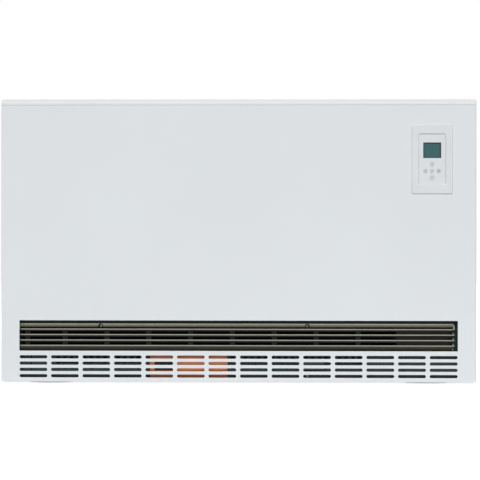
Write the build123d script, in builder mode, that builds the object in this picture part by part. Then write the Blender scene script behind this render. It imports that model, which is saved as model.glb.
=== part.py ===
from build123d import *
import os
from math import cos, radians, sin

os.makedirs("parts", exist_ok=True)

# Fan-assisted storage heater: a steel casing round an insulated brick core, a blower below the core,
# an outlet grille across the foot of the front and a control panel at the upper right.
# Millimetres. The origin is the middle of the footprint, on the floor. +Z is up, the front faces -Y.

# Whole heater
width = 1130.0
depth = 250.0
height = 676.0
foot_height = 4.0
bezel_proud = 3.0
wall_spacer = 5.0

# Sheet metal and clearances
sheet = 1.0
thick_sheet = 1.5
fan_sheet = 0.8
fit = 0.3
seam = 0.6
running_fit = 0.05

# Casing panels
corner_radius = 4.0
fold_radius = 1.5
lid_front_radius = 11.0
lid_side_radius = 5.0
lid_straight = 3.0
lid_seam = 0.2
panel_return = 15.0
edge_flange = 12.0
joggle_tuck = 7.0
joggle_slope = 3.0
tray_side_flange = 20.0
tray_rear_flange = 30.0
tray_front_flange = 8.0
rib_height = 1.6
rib_width = 30.0
rib_end_margin = 90.0
rib_pitch = 300.0
rib_count = 3
rib_slope = 45.0

# Foot rails under the base tray
foot_width = 95.0
foot_brim = 16.0
foot_slope = 5.0
foot_from_side = 118.0
foot_front_margin = 3.0
foot_rear_margin = 10.0
floor_hole = 8.5
floor_hole_margin = 37.0
floor_access_hole = 18.0

# Wall fixing, spacers and cable entry in the back panel
wall_hole = 9.0
wall_hole_spacing = 800.0
wall_hole_from_top = 76.0
spacer_diameter = 24.0
spacer_pin = 8.0
spacer_from_side = 60.0
spacer_from_edge = 50.0
cable_bore = 12.0
grommet_neck = 22.0
grommet_flange = 30.0
grommet_lip = 3.0
cable_from_side = 85.0
cable_height = 86.0

# Air intake slots in the front panel
slot_length = 66.0
slot_width = 7.5
slot_pitch = 75.0
slot_row_pitch = 15.0
slot_rows = 4
slot_first_height = 13.5
slot_side_margin = 38.0

# Outlet window in the front panel
window_bottom_height = 73.0
window_height = 72.5
window_side_margin = 44.0
window_return = 7.0
window_corner = 1.5

# Outlet grille
grille_recess = 9.0
grille_depth = 13.5
grille_height = 65.0
grille_left_margin = 42.0
grille_right_margin = 52.0
top_rail_height = 12.0
top_rail_crown = 1.5
bottom_rail_height = 10.7
bottom_rail_slope = 7.0
bottom_rail_lip = 3.0
bottom_rail_top = 6.0
slat_count = 4
slat_pitch = 13.0
slat_first_drop = 12.8
slat_lip = 2.2
slat_fall = 1.5
slat_flange = 5.0
strap_width = 12.0
strap_thickness = 2.0
strap_first = 18.3
strap_second = 108.3
strap_pitch = 100.1
end_plate = 1.2
end_plate_flange = 5.0
end_plate_setback = 2.0
ear_width = 2.4
ear_reach = 12.0
ear_radius = 4.0
ear_drop = 15.0
grille_screw_margins = (194.6, 348.3)
grille_access_hole = 11.0

# Screws
screw_shank = 3.9
screw_hole = 4.2
screw_head = 7.5
screw_head_height = 2.4
screw_length = 8.0
screen_screw_length = 5.0
screw_inset = 4.5
casing_screw_pitch = 190.0

# Storage core: refractory bricks, heating elements and insulation
brick_width = 175.0
brick_depth = 160.0
brick_height = 71.0
air_slot_length = 130.0
air_slot_width = 10.0
air_slot_offset = 62.0
return_channel_depth = 12.0
front_air_gap = 9.0
side_air_gap = 6.0
lid_air_gap = 23.0
front_insulation = 28.0
left_insulation = 26.0
bottom_insulation_thickness = 32.0
least_insulation = 25.0
core_gap = 1.0
element_diameter = 8.5
element_leg_spacing = 70.0
element_end_margin = 12.0
element_sheath_out = 12.0
element_pin = 4.0
element_pin_length = 12.0
lead_diameter = 3.5
lead_bend = 5.0

# Electrical compartment at the right
compartment_width = 184.0
sensor_diameter = 5.0
sensor_offset = 25.0
thermostat_size = 30.0
thermostat_depth = 16.0
thermostat_corner = 3.0
power_board_clearance = 13.4
power_board_height = 180.0
power_board_margin = 4.0
power_board_rise = 110.0
power_board_standoff = 9.0
relay_width = 20.0
relay_length = 30.0
relay_height = 18.0
relay_pitch = 60.0
terminal_ways = 5
terminal_pitch = 12.0
terminal_height = 24.0
terminal_depth = 22.0
terminal_rise = 26.0
terminal_screw = 6.0
lead_step = 11.0
tray_height = 146.0
tray_thickness = 2.0
tray_front_drop = 20.0

# Blower: crossflow impellers left and right of a shaded-pole motor
fan_radius = 28.0
blade_inner_radius = 21.0
blade_count = 20
blade_lean = 12.0
blade_bow = 4.0
ring_thickness = 1.2
ring_spacing = 115.0
fan_setback = 43.0
fan_height = 37.0
fan_left_margin = 111.0
fan_right_margin = 74.0
left_impeller_length = 230.0
motor_bay = 196.0
fan_end_gap = 4.0
shaft_diameter = 6.0
shaft_bevel = 0.5
hub_diameter = 14.0
hub_length = 10.0
bush_diameter = 14.0
bush_length = 8.0
scroll_gap = 3.0
scroll_lip_angle = 20.0
scroll_lip = 8.0
scroll_foot = 12.0
scroll_growth_radius = 70.0
scroll_growth_angle = 20.0
tongue_gap = 2.5
tongue_angle = 40.0
tongue_seat = 12.0
tongue_drop = 8.5
stator_stack = 24.0
stator_front = 26.0
stator_rear = 46.0
stator_half_height = 25.0
rotor_diameter = 30.0
rotor_gap = 0.6
coil_leg = 12.0
coil_window = 12.0
coil_half_height = 16.0
coil_overhang = 9.0
coil_corner = 3.0
stator_corner = 2.0
motor_bracket_gap = 14.0
motor_foot = 15.0
spacer_tube = 7.0
spacer_tube_inset = 5.0

# Intake screen in front of the blower, its motor cover and its lead connector
screen_setback = 18.0
screen_flange = 4.0
screen_left_margin = 63.0
screen_right_margin = 171.0
screen_end_margin = 35.0
screen_joint = 2.0
screen_hole_width = 13.0
screen_hole_height = 30.0
screen_hole_pitch = 16.0
screen_hole_rise = 42.5
screen_screw_rise = 12.6
screen_screw_margins = (44.0, 19.0)
screen_tab_width = 20.0
screen_tab_height = 20.0
motor_cover_width = 184.6
motor_cover_bulge = 6.0
motor_cover_edge = 5.0
motor_cover_margin = 3.0
cover_window_width = 49.0
cover_window_height = 22.0
cover_window_inset = 10.6
cover_window_radius = 2.0
connector_width = 50.0
connector_height = 24.0
connector_depth = 6.0
connector_offset = 15.3
connector_bevel = 1.0
connector_rise = 38.0

# Mixing flap between the blower plenum and the outlet chamber
chamber_depth = 102.0
port_left_margin = 77.0
port_right_margin = 48.5
port_rise = 19.0
port_height = 37.0
flap_overlap = 4.0
flap_hinge_rise = 61.0
flap_barrel = 5.0
flap_pin = 3.0
flap_bracket_width = 12.0
crank_arm = 12.0
crank_pin_length = 12.0
bimetal_thickness = 0.8
bimetal_width = 12.0
bimetal_pad = 10.0

# Control panel
frame_width = 98.0
frame_height = 166.0
frame_radius = 4.0
frame_bevel = 2.0
frame_wall = 2.0
frame_spigot = 10.0
recess_width = 66.0
recess_height = 122.0
recess_radius = 2.5
recess_slope = 2.4
cutout_width = 84.0
cutout_height = 150.0
control_from_side = 105.0
control_from_top = 142.5
control_plate_thickness = 2.0
display_width = 41.5
display_height = 36.0
display_rise = 20.8
display_rim = 2.0
display_bevel = 0.9
display_setback = 0.8
button_diameter = 9.5
button_gap = 0.25
button_proud = 1.1
button_edge = 0.5
button_dish = 0.35
button_collar = 1.3
button_collar_thickness = 1.0
button_stem = 5.0
button_stem_length = 1.5
button_travel = 0.8
button_pitch = 15.8
button_drop = 28.1
board_thickness = 1.6
board_setback = 8.0
board_margin = 3.0
switch_size = 6.2
plunger_diameter = 3.5
housing_wall = 1.6
housing_depth = 24.0
housing_post = 6.0

# Places worked out from the sizes above
half_width = width / 2
front = -depth / 2 + bezel_proud
rear = depth / 2 - wall_spacer
casing_bottom = foot_height
lid_lip = lid_front_radius + lid_straight
lid_bottom = height - lid_lip
panel_top = lid_bottom - lid_seam
tray_top = casing_bottom + sheet
tray_front = front + sheet + fit
tray_rear = rear - 2 * sheet - fit
tray_half = half_width - sheet - fit
inner_rear = tray_rear - sheet - fit

window_bottom = casing_bottom + window_bottom_height
window_top = window_bottom + window_height
window_half = half_width - window_side_margin
grille_front = front + grille_recess
grille_rear = grille_front + grille_depth
grille_left = -half_width + grille_left_margin
grille_right = half_width - grille_right_margin
grille_bottom = window_bottom
grille_top = grille_bottom + grille_height
strap_rear = grille_rear + strap_thickness
screw_xs = [grille_left + grille_screw_margins[0], grille_right - grille_screw_margins[1]]
floor_top = grille_bottom - fit
floor_bottom = floor_top - sheet

core_tray_bottom = casing_bottom + tray_height
core_tray_top = core_tray_bottom + tray_thickness
inner_front = front + sheet + front_air_gap
inner_left = -half_width + sheet + side_air_gap + sheet
partition_right = half_width - sheet - compartment_width
partition_left = partition_right - thick_sheet
inner_top = height - sheet - lid_air_gap - sheet
core_left = inner_left + left_insulation + core_gap
core_front = inner_front + sheet + front_insulation + core_gap
core_rear = core_front + brick_depth
core_bottom = core_tray_top + bottom_insulation_thickness
brick_columns = int((partition_left - least_insulation - core_gap - core_left) // brick_width)
brick_rows = int((inner_top - least_insulation - core_gap - core_bottom) // brick_height)
core_right = core_left + brick_columns * brick_width
core_top = core_bottom + brick_rows * brick_height
core_middle = ((core_left + core_right) / 2, (core_front + core_rear) / 2)
element_levels = [core_bottom + (2 * pair + 1) * brick_height for pair in range(brick_rows // 2)]
element_legs = [core_middle[1] - element_leg_spacing / 2, core_middle[1] + element_leg_spacing / 2]
sensor_y = element_legs[0] - sensor_offset
sensor_z = core_top - brick_height / 2

screen_front = front + screen_setback
screen_rear = screen_front + sheet
screen_left = inner_left + screen_left_margin
screen_right = half_width - screen_right_margin
screen_end = half_width - screen_end_margin
screen_screw_xs = [screen_left + screen_screw_margins[0], screw_xs[1], screen_right - screen_screw_margins[1]]
fan_y = screen_rear + fan_setback
fan_z = tray_top + fan_height
fan_left = inner_left + fan_left_margin
fan_right = partition_left - fan_right_margin
left_impeller_end = fan_left + left_impeller_length
right_impeller_start = left_impeller_end + motor_bay
motor_x = (left_impeller_end + right_impeller_start) / 2
chamber_rear = inner_front + chamber_depth
flap_y = chamber_rear - fit - flap_barrel / 2
flap_z = floor_top + flap_hinge_rise
port_left = inner_left + port_left_margin
port_right = partition_left - port_right_margin
port_bottom = floor_top + port_rise
flap_left = port_left - flap_overlap
flap_right = port_right + flap_overlap

control_x = half_width - control_from_side
control_z = height - control_from_top
plate_rear = front + control_plate_thickness
button_centre = (control_x, control_z - button_drop)
button_places = {
    "centre_button": (0, 0),
    "plus_button": (0, 1),
    "minus_button": (0, -1),
    "left_button": (-1, 0),
    "right_button": (1, 0),
}
collar_front = plate_rear + fit
stem_rear = collar_front + button_collar_thickness + button_stem_length
board_front = plate_rear + board_setback


def level(z):
    """Sketch plane seen from above, at a height."""
    return Plane.XY.offset(z)


def facing(y):
    """Sketch plane seen from the front, at a depth. Its normal points out of the front."""
    return Plane.XZ.offset(-y)


def section(x):
    """Sketch plane seen from the right, at a distance along the heater."""
    return Plane.YZ.offset(x)


def patch(x_span, y_span, mode=Mode.ADD):
    """Rectangle between two pairs of sketch coordinates."""
    with Locations((sum(x_span) / 2, sum(y_span) / 2)):
        Rectangle(abs(x_span[1] - x_span[0]), abs(y_span[1] - y_span[0]), mode=mode)


def block(x_span, y_span, z_span, mode=Mode.ADD):
    """Box between three pairs of coordinates."""
    spans = (x_span, y_span, z_span)
    with Locations(tuple(sum(span) / 2 for span in spans)):
        Box(*(abs(span[1] - span[0]) for span in spans), mode=mode)


def pan_screw(seat, shank_length=screw_length):
    """Pan head screw on a seat plane: the head stands outside it and the shank runs inside."""
    with Locations(seat):
        Cylinder(screw_head / 2, screw_head_height, align=(Align.CENTER, Align.CENTER, Align.MIN))
        Cylinder(screw_shank / 2, shank_length, align=(Align.CENTER, Align.CENTER, Align.MAX))


def air_slots():
    """Cut the core's air passages from the sketch: one at the front and one at the rear of each column."""
    with Locations(core_middle):
        with GridLocations(brick_width, 2 * air_slot_offset, brick_columns, 2):
            Rectangle(air_slot_length, air_slot_width, mode=Mode.SUBTRACT)


def save(piece, name):
    """Label a finished sub-part and write it to its own file."""
    piece.part.label = name
    export_step(piece.part, f"parts/{name}.step")


# Front panel: a folded pan, open at the rear and at the foot, with the intake slots, the outlet
# window and the cut-out for the control panel
slot_columns = int((width - 2 * slot_side_margin) // slot_pitch)
slot_middle = casing_bottom + slot_first_height + slot_row_pitch * (slot_rows - 1) / 2
with BuildPart() as front_panel:
    with BuildSketch(level(casing_bottom)):
        patch((-half_width, half_width), (front, front + panel_return))
    extrude(amount=panel_top - casing_bottom)
    fillet(front_panel.faces().sort_by(Axis.Y)[0].edges().filter_by(Axis.Z), corner_radius)
    top_edges = front_panel.faces().sort_by(Axis.Z)[-1].edges()
    fillet(top_edges.sort_by(Axis.Y)[:-1], fold_radius)
    open_faces = [front_panel.faces().sort_by(Axis.Y)[-1], front_panel.faces().sort_by(Axis.Z)[0]]
    offset(amount=-sheet, openings=open_faces)
    with BuildSketch(facing(front)):
        with Locations((0, slot_middle)):
            with GridLocations(slot_pitch, slot_row_pitch, slot_columns, slot_rows):
                SlotOverall(slot_length, slot_width)
        with Locations((0, (window_bottom + window_top) / 2)):
            RectangleRounded(2 * window_half, window_height, window_corner)
        with Locations((control_x, control_z)):
            RectangleRounded(cutout_width, cutout_height, recess_radius)
    extrude(amount=-sheet, mode=Mode.SUBTRACT)
    with BuildSketch(facing(front + sheet)):
        patch((-window_half, window_half), (window_bottom - sheet, window_bottom))
        patch((-window_half, window_half), (window_top, window_top + sheet))
    extrude(amount=-window_return)
save(front_panel, "front_panel")


# Top cover: its front edge, side edges and upright corners each have their own radius
def cover_form(inset):
    """Outside form of the top cover, drawn in by the inset everywhere but at its open underside."""
    top = height - inset
    side = half_width - inset
    with BuildPart() as form:
        with BuildSketch(level(lid_bottom)) as plan:
            patch((-side, side), (front + inset, rear - inset))
            fillet(plan.vertices().sort_by(Axis.Y)[:2], corner_radius - inset)
        extrude(amount=top - lid_bottom)
        with BuildSketch(section(0)) as side_view:
            patch((front + inset, rear - inset), (lid_bottom, top))
            fillet(side_view.vertices().sort_by(Axis.Y)[-2:].sort_by(Axis.X)[0], lid_front_radius - inset)
        extrude(amount=half_width, both=True, mode=Mode.INTERSECT)
        with BuildSketch(facing(0)) as front_view:
            patch((-side, side), (lid_bottom, top))
            fillet(front_view.vertices().sort_by(Axis.Y)[-2:], lid_side_radius - inset)
        extrude(amount=depth, both=True, mode=Mode.INTERSECT)
    return form.part


cover_outside = cover_form(0)
cover_inside = cover_form(sheet)
with BuildPart() as top_cover:
    add(cover_outside)
    add(cover_inside, mode=Mode.SUBTRACT)
save(top_cover, "top_cover")


# Side panels: a joggled front edge tucked behind the front panel's return, a rear flange under the
# back panel and a top flange under the cover
screw_x = half_width - screw_inset
back_middle_z = (casing_bottom + panel_top) / 2
screw_rows = int((panel_top - casing_bottom - 2 * edge_flange) // casing_screw_pitch) + 1


def side_panel(side):
    """Side panel on the left (-1) or on the right (1)."""
    wall = side * (half_width - sheet / 2)
    inner_wall = side * (half_width - sheet)
    tucked = side * (half_width - 1.5 * sheet - fit)
    return_edge = front + panel_return + seam
    wall_start = return_edge + joggle_slope
    flange_end = side * (half_width - edge_flange)
    flange_y = rear - 1.5 * sheet
    with BuildPart() as panel:
        with BuildSketch(level(casing_bottom)):
            with BuildLine():
                FilletPolyline(
                    (tucked, return_edge - joggle_tuck),
                    (tucked, return_edge),
                    (wall, wall_start),
                    (wall, flange_y),
                    (flange_end, flange_y),
                    radius=sheet,
                )
            trace(line_width=sheet)
        extrude(amount=panel_top - casing_bottom)
        block((inner_wall, flange_end), (wall_start, rear - 2 * sheet), (panel_top - sheet, panel_top))
        tuck_x = (tucked - side * sheet, tucked + side * sheet / 2)
        tuck_y = (return_edge - 2 * joggle_tuck, return_edge)
        block(tuck_x, tuck_y, (casing_bottom, tray_top + fit), mode=Mode.SUBTRACT)
        block(tuck_x, tuck_y, (panel_top - sheet - fit, panel_top), mode=Mode.SUBTRACT)
        with BuildSketch(facing(rear - sheet)):
            with Locations((side * screw_x, back_middle_z)):
                with GridLocations(0, casing_screw_pitch, 1, screw_rows):
                    Circle(screw_hole / 2)
        extrude(amount=sheet, mode=Mode.SUBTRACT)
    return panel


left_side_panel = side_panel(-1)
right_side_panel = side_panel(1)
save(left_side_panel, "left_side_panel")
save(right_side_panel, "right_side_panel")

# Back panel: a flat sheet over the side panels' flanges, with pressed ribs and its fixing holes
wall_hole_z = height - wall_hole_from_top
spacer_x = half_width - spacer_from_side
spacer_spacing = panel_top - casing_bottom - 2 * spacer_from_edge
cable_place = (half_width - cable_from_side, casing_bottom + cable_height)
rib_length = panel_top - casing_bottom - 2 * rib_end_margin
with BuildPart() as back_panel:
    with BuildSketch(facing(rear)):
        patch((-half_width, half_width), (casing_bottom, panel_top))
        with Locations((0, wall_hole_z)):
            with GridLocations(wall_hole_spacing, 0, 2, 1):
                Circle(wall_hole / 2, mode=Mode.SUBTRACT)
        with Locations(cable_place):
            Circle(grommet_neck / 2 + fit, mode=Mode.SUBTRACT)
        with Locations((0, back_middle_z)):
            with GridLocations(2 * spacer_x, spacer_spacing, 2, 2):
                Circle(spacer_pin / 2 + fit, mode=Mode.SUBTRACT)
        with Locations((0, back_middle_z)):
            with GridLocations(2 * screw_x, casing_screw_pitch, 2, screw_rows):
                Circle(screw_hole / 2, mode=Mode.SUBTRACT)
    extrude(amount=sheet)
    with BuildSketch(facing(rear)):
        with Locations((0, back_middle_z)):
            with GridLocations(rib_pitch, 0, rib_count, 1):
                SlotOverall(rib_length, rib_width, rotation=90)
    extrude(amount=-rib_height, taper=rib_slope)
    with BuildSketch(facing(rear - sheet)):
        with Locations((0, back_middle_z)):
            with GridLocations(rib_pitch, 0, rib_count, 1):
                SlotOverall(rib_length, rib_width, rotation=90)
    extrude(amount=-rib_height, taper=rib_slope, mode=Mode.SUBTRACT)
save(back_panel, "back_panel")

# Plastic wall spacers, each with a pin through the back panel
with BuildPart() as wall_spacers:
    with BuildSketch(facing(rear)):
        with Locations((0, back_middle_z)):
            with GridLocations(2 * spacer_x, spacer_spacing, 2, 2):
                Circle(spacer_diameter / 2)
    extrude(amount=-wall_spacer)
    with BuildSketch(facing(rear)):
        with Locations((0, back_middle_z)):
            with GridLocations(2 * spacer_x, spacer_spacing, 2, 2):
                Circle(spacer_pin / 2)
    extrude(amount=2 * sheet)
save(wall_spacers, "wall_spacers")

# Grommet of the cable entry: a neck through the back panel between two flanges
with BuildPart() as cable_grommet:
    with BuildSketch(facing(rear + grommet_lip)):
        with Locations(cable_place):
            Circle(grommet_flange / 2)
    extrude(amount=2 * grommet_lip + sheet)
    with BuildSketch(facing(rear)):
        with Locations(cable_place):
            Circle(grommet_flange / 2)
            Circle(grommet_neck / 2, mode=Mode.SUBTRACT)
    extrude(amount=sheet, mode=Mode.SUBTRACT)
    with BuildSketch(facing(rear + grommet_lip)):
        with Locations(cable_place):
            Circle(cable_bore / 2)
    extrude(amount=2 * grommet_lip + sheet, mode=Mode.SUBTRACT)
save(cable_grommet, "cable_grommet")

# Base tray: upturned flanges with notched front corners, bent-up tabs for the intake screen, and
# holes that give access to the floor fixings
foot_x = half_width - foot_from_side
foot_front = front + foot_front_margin
foot_rear = rear - foot_rear_margin
foot_middle = (foot_front + foot_rear) / 2
foot_hole_spacing = foot_rear - foot_front - 2 * floor_hole_margin
flange_start = front + panel_return + joggle_slope + edge_flange
tray_corner = half_width - 2 * sheet - 2 * fit
tab_span = (tray_top, tray_top + screen_tab_height)
with BuildPart() as base_tray:
    with BuildSketch(level(casing_bottom)):
        patch((-tray_half, tray_half), (flange_start, tray_rear))
        patch((-tray_corner + sheet, tray_corner - sheet), (tray_front, flange_start))
        with Locations((0, foot_middle)):
            with GridLocations(2 * foot_x, foot_hole_spacing, 2, 2):
                Circle(floor_access_hole / 2, mode=Mode.SUBTRACT)
    extrude(amount=sheet)
    front_span = (-tray_corner + sheet, tray_corner - sheet)
    block(front_span, (tray_front, tray_front + sheet), (tray_top, tray_top + tray_front_flange))
    block((-tray_half, tray_half), (tray_rear - sheet, tray_rear), (tray_top, tray_top + tray_rear_flange))
    for side in (-1, 1):
        side_span = (side * (tray_half - sheet), side * tray_half)
        block(side_span, (flange_start, tray_rear), (tray_top, tray_top + tray_side_flange))
    for x in screen_screw_xs:
        tab_x = (x - screen_tab_width / 2, x + screen_tab_width / 2)
        block(tab_x, (screen_rear, screen_rear + sheet), tab_span)
    with BuildSketch(facing(screen_rear)):
        with Locations(*((x, tray_top + screen_screw_rise) for x in screen_screw_xs)):
            Circle(screw_hole / 2)
    extrude(amount=-sheet, mode=Mode.SUBTRACT)
save(base_tray, "base_tray")

# Foot rails: a shallow hat section under each end of the tray
with BuildPart() as foot_rails:
    low = thick_sheet / 2
    high = foot_height - thick_sheet / 2
    web_half = foot_width / 2 - foot_brim - foot_slope
    brim_inner = foot_width / 2 - foot_brim
    for x in (-foot_x, foot_x):
        with BuildSketch(facing(foot_front)):
            with BuildLine():
                Polyline(
                    (x - foot_width / 2, high),
                    (x - brim_inner, high),
                    (x - web_half, low),
                    (x + web_half, low),
                    (x + brim_inner, high),
                    (x + foot_width / 2, high),
                )
            trace(line_width=thick_sheet)
        extrude(amount=foot_front - foot_rear)
    with BuildSketch(level(0)):
        with Locations((0, foot_middle)):
            with GridLocations(2 * foot_x, foot_hole_spacing, 2, 2):
                Circle(floor_hole / 2)
    extrude(amount=foot_height, mode=Mode.SUBTRACT)
save(foot_rails, "foot_rails")

# Inner steelwork: end wall, partition and front wall round the core, and the cover over them.
# Each upright wall steps back at its foot, behind the outlet grille and the intake screen.
wall_step_y = strap_rear + fit + sheet + fit


def upright_wall(x_from, x_to):
    """Inner wall across the heater's depth, with the step at its front foot."""
    with BuildPart() as wall:
        with BuildSketch(section(x_from)):
            patch((wall_step_y, inner_rear), (tray_top, inner_top))
            patch((inner_front, wall_step_y), (core_tray_bottom, inner_top))
        extrude(amount=x_to - x_from)
    return wall.part


left_wall = upright_wall(inner_left - sheet, inner_left)
with BuildPart() as left_inner_wall:
    add(left_wall)
save(left_inner_wall, "left_inner_wall")

right_wall = upright_wall(partition_left, partition_right)
with BuildPart() as partition_plate:
    add(right_wall)
    with BuildSketch(section(partition_left)):
        for z in element_levels:
            with Locations(*((y, z) for y in element_legs)):
                Circle(element_diameter / 2 + fit)
        with Locations((sensor_y, sensor_z)):
            Circle(sensor_diameter / 2 + fit)
    extrude(amount=thick_sheet, mode=Mode.SUBTRACT)
save(partition_plate, "partition_plate")

with BuildPart() as inner_front_wall:
    block((inner_left, partition_left), (inner_front, inner_front + sheet), (core_tray_top, inner_top))
save(inner_front_wall, "inner_front_wall")

with BuildPart() as inner_top_cover:
    lip = (inner_top - edge_flange, inner_top + sheet)
    plan_x = (inner_left - 2 * sheet - fit, partition_right + sheet + fit)
    plan_y = (inner_front - sheet - fit, inner_rear + sheet + fit)
    block(plan_x, plan_y, lip)
    block((plan_x[0] + sheet, plan_x[1] - sheet), (plan_y[0] + sheet, plan_y[1] - sheet), (lip[0], inner_top),
          mode=Mode.SUBTRACT)
save(inner_top_cover, "inner_top_cover")

# Core tray: carries the bricks over the blower, with the air passages cut through it. Its side and
# rear flanges turn down, and an angle under its front edge takes the grille's screws.
screw_flange_y = strap_rear + fit
grille_screw_z = grille_top - top_rail_height / 2
with BuildPart() as core_tray:
    with BuildSketch(level(core_tray_bottom)):
        patch((inner_left, partition_left), (inner_front, inner_rear))
        air_slots()
    extrude(amount=tray_thickness)
    block((inner_left, partition_left), (inner_rear - sheet, inner_rear), (tray_top, core_tray_bottom))
    block((inner_left, partition_left), (screw_flange_y, screw_flange_y + sheet),
          (core_tray_bottom - tray_front_drop, core_tray_bottom))
    with BuildSketch(facing(screw_flange_y)):
        with Locations(*((x, grille_screw_z) for x in screw_xs)):
            Circle(screw_shank / 2)
    extrude(amount=-sheet, mode=Mode.SUBTRACT)
save(core_tray, "core_tray")

# Duct floor: closes the blower chamber at the top, carries the grille and reaches across the
# compartment as a front shelf
with BuildPart() as duct_floor:
    with BuildSketch(level(floor_bottom)):
        patch((inner_left, partition_left), (inner_front, chamber_rear))
        patch((inner_left, half_width - 2 * sheet - fit), (inner_front, wall_step_y - fit))
    extrude(amount=sheet)
save(duct_floor, "duct_floor")

# Rear wall of the outlet chamber, with the bypass port
with BuildPart() as duct_rear_wall:
    with BuildSketch(facing(chamber_rear)):
        patch((inner_left, partition_left), (floor_bottom, core_tray_bottom))
        patch((port_left, port_right), (port_bottom, port_bottom + port_height), mode=Mode.SUBTRACT)
    extrude(amount=-sheet)
save(duct_rear_wall, "duct_rear_wall")

# Mixing flap: a blade hung from a pinned barrel, with a crank at its right end
flap_bottom = port_bottom - flap_overlap
crank_x = flap_right + thick_sheet + 2 * fit
crank_pin_x = crank_x + thick_sheet
with BuildPart() as mixing_flap:
    with BuildSketch(section(flap_left)):
        with Locations((flap_y, flap_z)):
            Circle(flap_barrel / 2)
        blade_rear = flap_y + flap_barrel / 2
        patch((blade_rear - sheet, blade_rear), (flap_bottom, flap_z))
    extrude(amount=flap_right - flap_left)
    with BuildSketch(section(flap_left - thick_sheet - 2 * fit)):
        with Locations((flap_y, flap_z)):
            Circle(flap_pin / 2)
    extrude(amount=crank_pin_x - flap_left + thick_sheet + 2 * fit)
    with BuildSketch(section(crank_x)):
        with Locations((flap_y, flap_z)):
            Circle(flap_barrel / 2)
        with Locations((flap_y, flap_z - crank_arm)):
            Circle(flap_barrel / 2)
        patch((flap_y - flap_barrel / 2, flap_y + flap_barrel / 2), (flap_z - crank_arm, flap_z))
    extrude(amount=thick_sheet)
    with BuildSketch(section(crank_pin_x)):
        with Locations((flap_y, flap_z - crank_arm)):
            Circle(flap_pin / 2)
    extrude(amount=crank_pin_length)
save(mixing_flap, "mixing_flap")

# Flap brackets on the chamber's rear wall, one at each end of the barrel
with BuildPart() as flap_brackets:
    for x_inner, outward in ((flap_left - fit, -1), (flap_right + fit, 1)):
        plate_span = (x_inner, x_inner + outward * thick_sheet)
        with BuildSketch(section(min(plate_span))):
            patch((flap_y - flap_barrel, chamber_rear), (flap_z - flap_barrel, flap_z + flap_barrel))
            with Locations((flap_y, flap_z)):
                Circle(flap_pin / 2 + running_fit, mode=Mode.SUBTRACT)
        extrude(amount=thick_sheet)
        foot_span = (x_inner, x_inner - outward * flap_bracket_width)
        block(foot_span, (chamber_rear - thick_sheet, chamber_rear),
              (flap_z + flap_barrel / 2 + fit, flap_z + flap_barrel))
save(flap_brackets, "flap_brackets")

# Bimetal strip behind the crank pin, fixed to the chamber's rear wall by the pad at its foot
with BuildPart() as bimetal_strip:
    strip_x = (crank_pin_x + fit, crank_pin_x + fit + bimetal_width)
    strip_front = flap_y + flap_pin / 2 + fit
    strip_bottom = floor_top + fit
    strip_top = flap_z - crank_arm + flap_pin
    block(strip_x, (strip_front, strip_front + bimetal_thickness), (strip_bottom, strip_top))
    block(strip_x, (strip_front, chamber_rear), (strip_bottom, strip_bottom + bimetal_pad))
save(bimetal_strip, "bimetal_strip")

# Outlet grille: hollow top rail with a rounded belly, lipped slats with rear flanges, a bottom rail that
# slopes back, upright straps behind them, and end plates with an ear over the top rail's ends
rail_left = grille_left + end_plate
rail_right = grille_right - end_plate
top_rail_bottom = grille_top - top_rail_height
top_rail_belly = top_rail_height - top_rail_crown


def top_rail_outline(inset):
    """Face of the top rail's section, drawn in by the inset: a flat rear web and a belly turned down."""
    crown = (grille_front + top_rail_crown, grille_top - top_rail_crown)
    belly = (grille_front + top_rail_belly, crown[1])
    y_rear = grille_rear - inset
    z_top = grille_top - inset
    z_low = top_rail_bottom + inset
    with BuildSketch(section(rail_left)) as outline:
        with BuildLine():
            Line((y_rear, z_low), (y_rear, z_top))
            Line((y_rear, z_top), (crown[0], z_top))
            CenterArc(crown, top_rail_crown - inset, 90, 90)
            CenterArc(belly, top_rail_belly - inset, 180, 90)
            Line((belly[0], z_low), (y_rear, z_low))
        make_face()
    return outline.sketch


rail_outside = top_rail_outline(0)
rail_inside = top_rail_outline(sheet)
with BuildPart() as grille_top_rail:
    extrude(rail_outside, amount=rail_right - rail_left)
    extrude(rail_inside, amount=rail_right - rail_left, mode=Mode.SUBTRACT)
    with BuildSketch(facing(grille_front)):
        with Locations(*((x, grille_screw_z) for x in screw_xs)):
            Circle(grille_access_hole / 2)
    extrude(amount=-(grille_depth - 2 * sheet), mode=Mode.SUBTRACT)
    with BuildSketch(facing(grille_rear)):
        with Locations(*((x, grille_screw_z) for x in screw_xs)):
            Circle(screw_hole / 2)
    extrude(amount=sheet, mode=Mode.SUBTRACT)
save(grille_top_rail, "grille_top_rail")

with BuildPart() as grille_slats:
    slat_front = grille_front + sheet / 2
    flange_mid = grille_rear - sheet / 2
    for row in range(slat_count):
        slat_z = grille_top - slat_first_drop - row * slat_pitch
        with BuildSketch(section(rail_left)):
            with BuildLine():
                FilletPolyline(
                    (slat_front, slat_z - slat_lip),
                    (slat_front, slat_z),
                    (flange_mid, slat_z - slat_fall),
                    (flange_mid, slat_z - slat_fall - slat_flange),
                    radius=sheet,
                )
            trace(line_width=sheet)
        extrude(amount=rail_right - rail_left)
save(grille_slats, "grille_slats")

with BuildPart() as grille_bottom_rail:
    low = grille_bottom + sheet / 2
    high = grille_bottom + bottom_rail_height - sheet / 2
    nose_y = grille_front + sheet / 2
    web_y = grille_rear - sheet / 2
    with BuildSketch(section(rail_left)):
        with BuildLine():
            FilletPolyline(
                (web_y, low + bottom_rail_lip),
                (web_y, low),
                (nose_y + bottom_rail_slope, low),
                (nose_y, high),
                (nose_y + bottom_rail_top, high),
                radius=sheet,
            )
        trace(line_width=sheet)
    extrude(amount=rail_right - rail_left)
save(grille_bottom_rail, "grille_bottom_rail")

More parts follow.
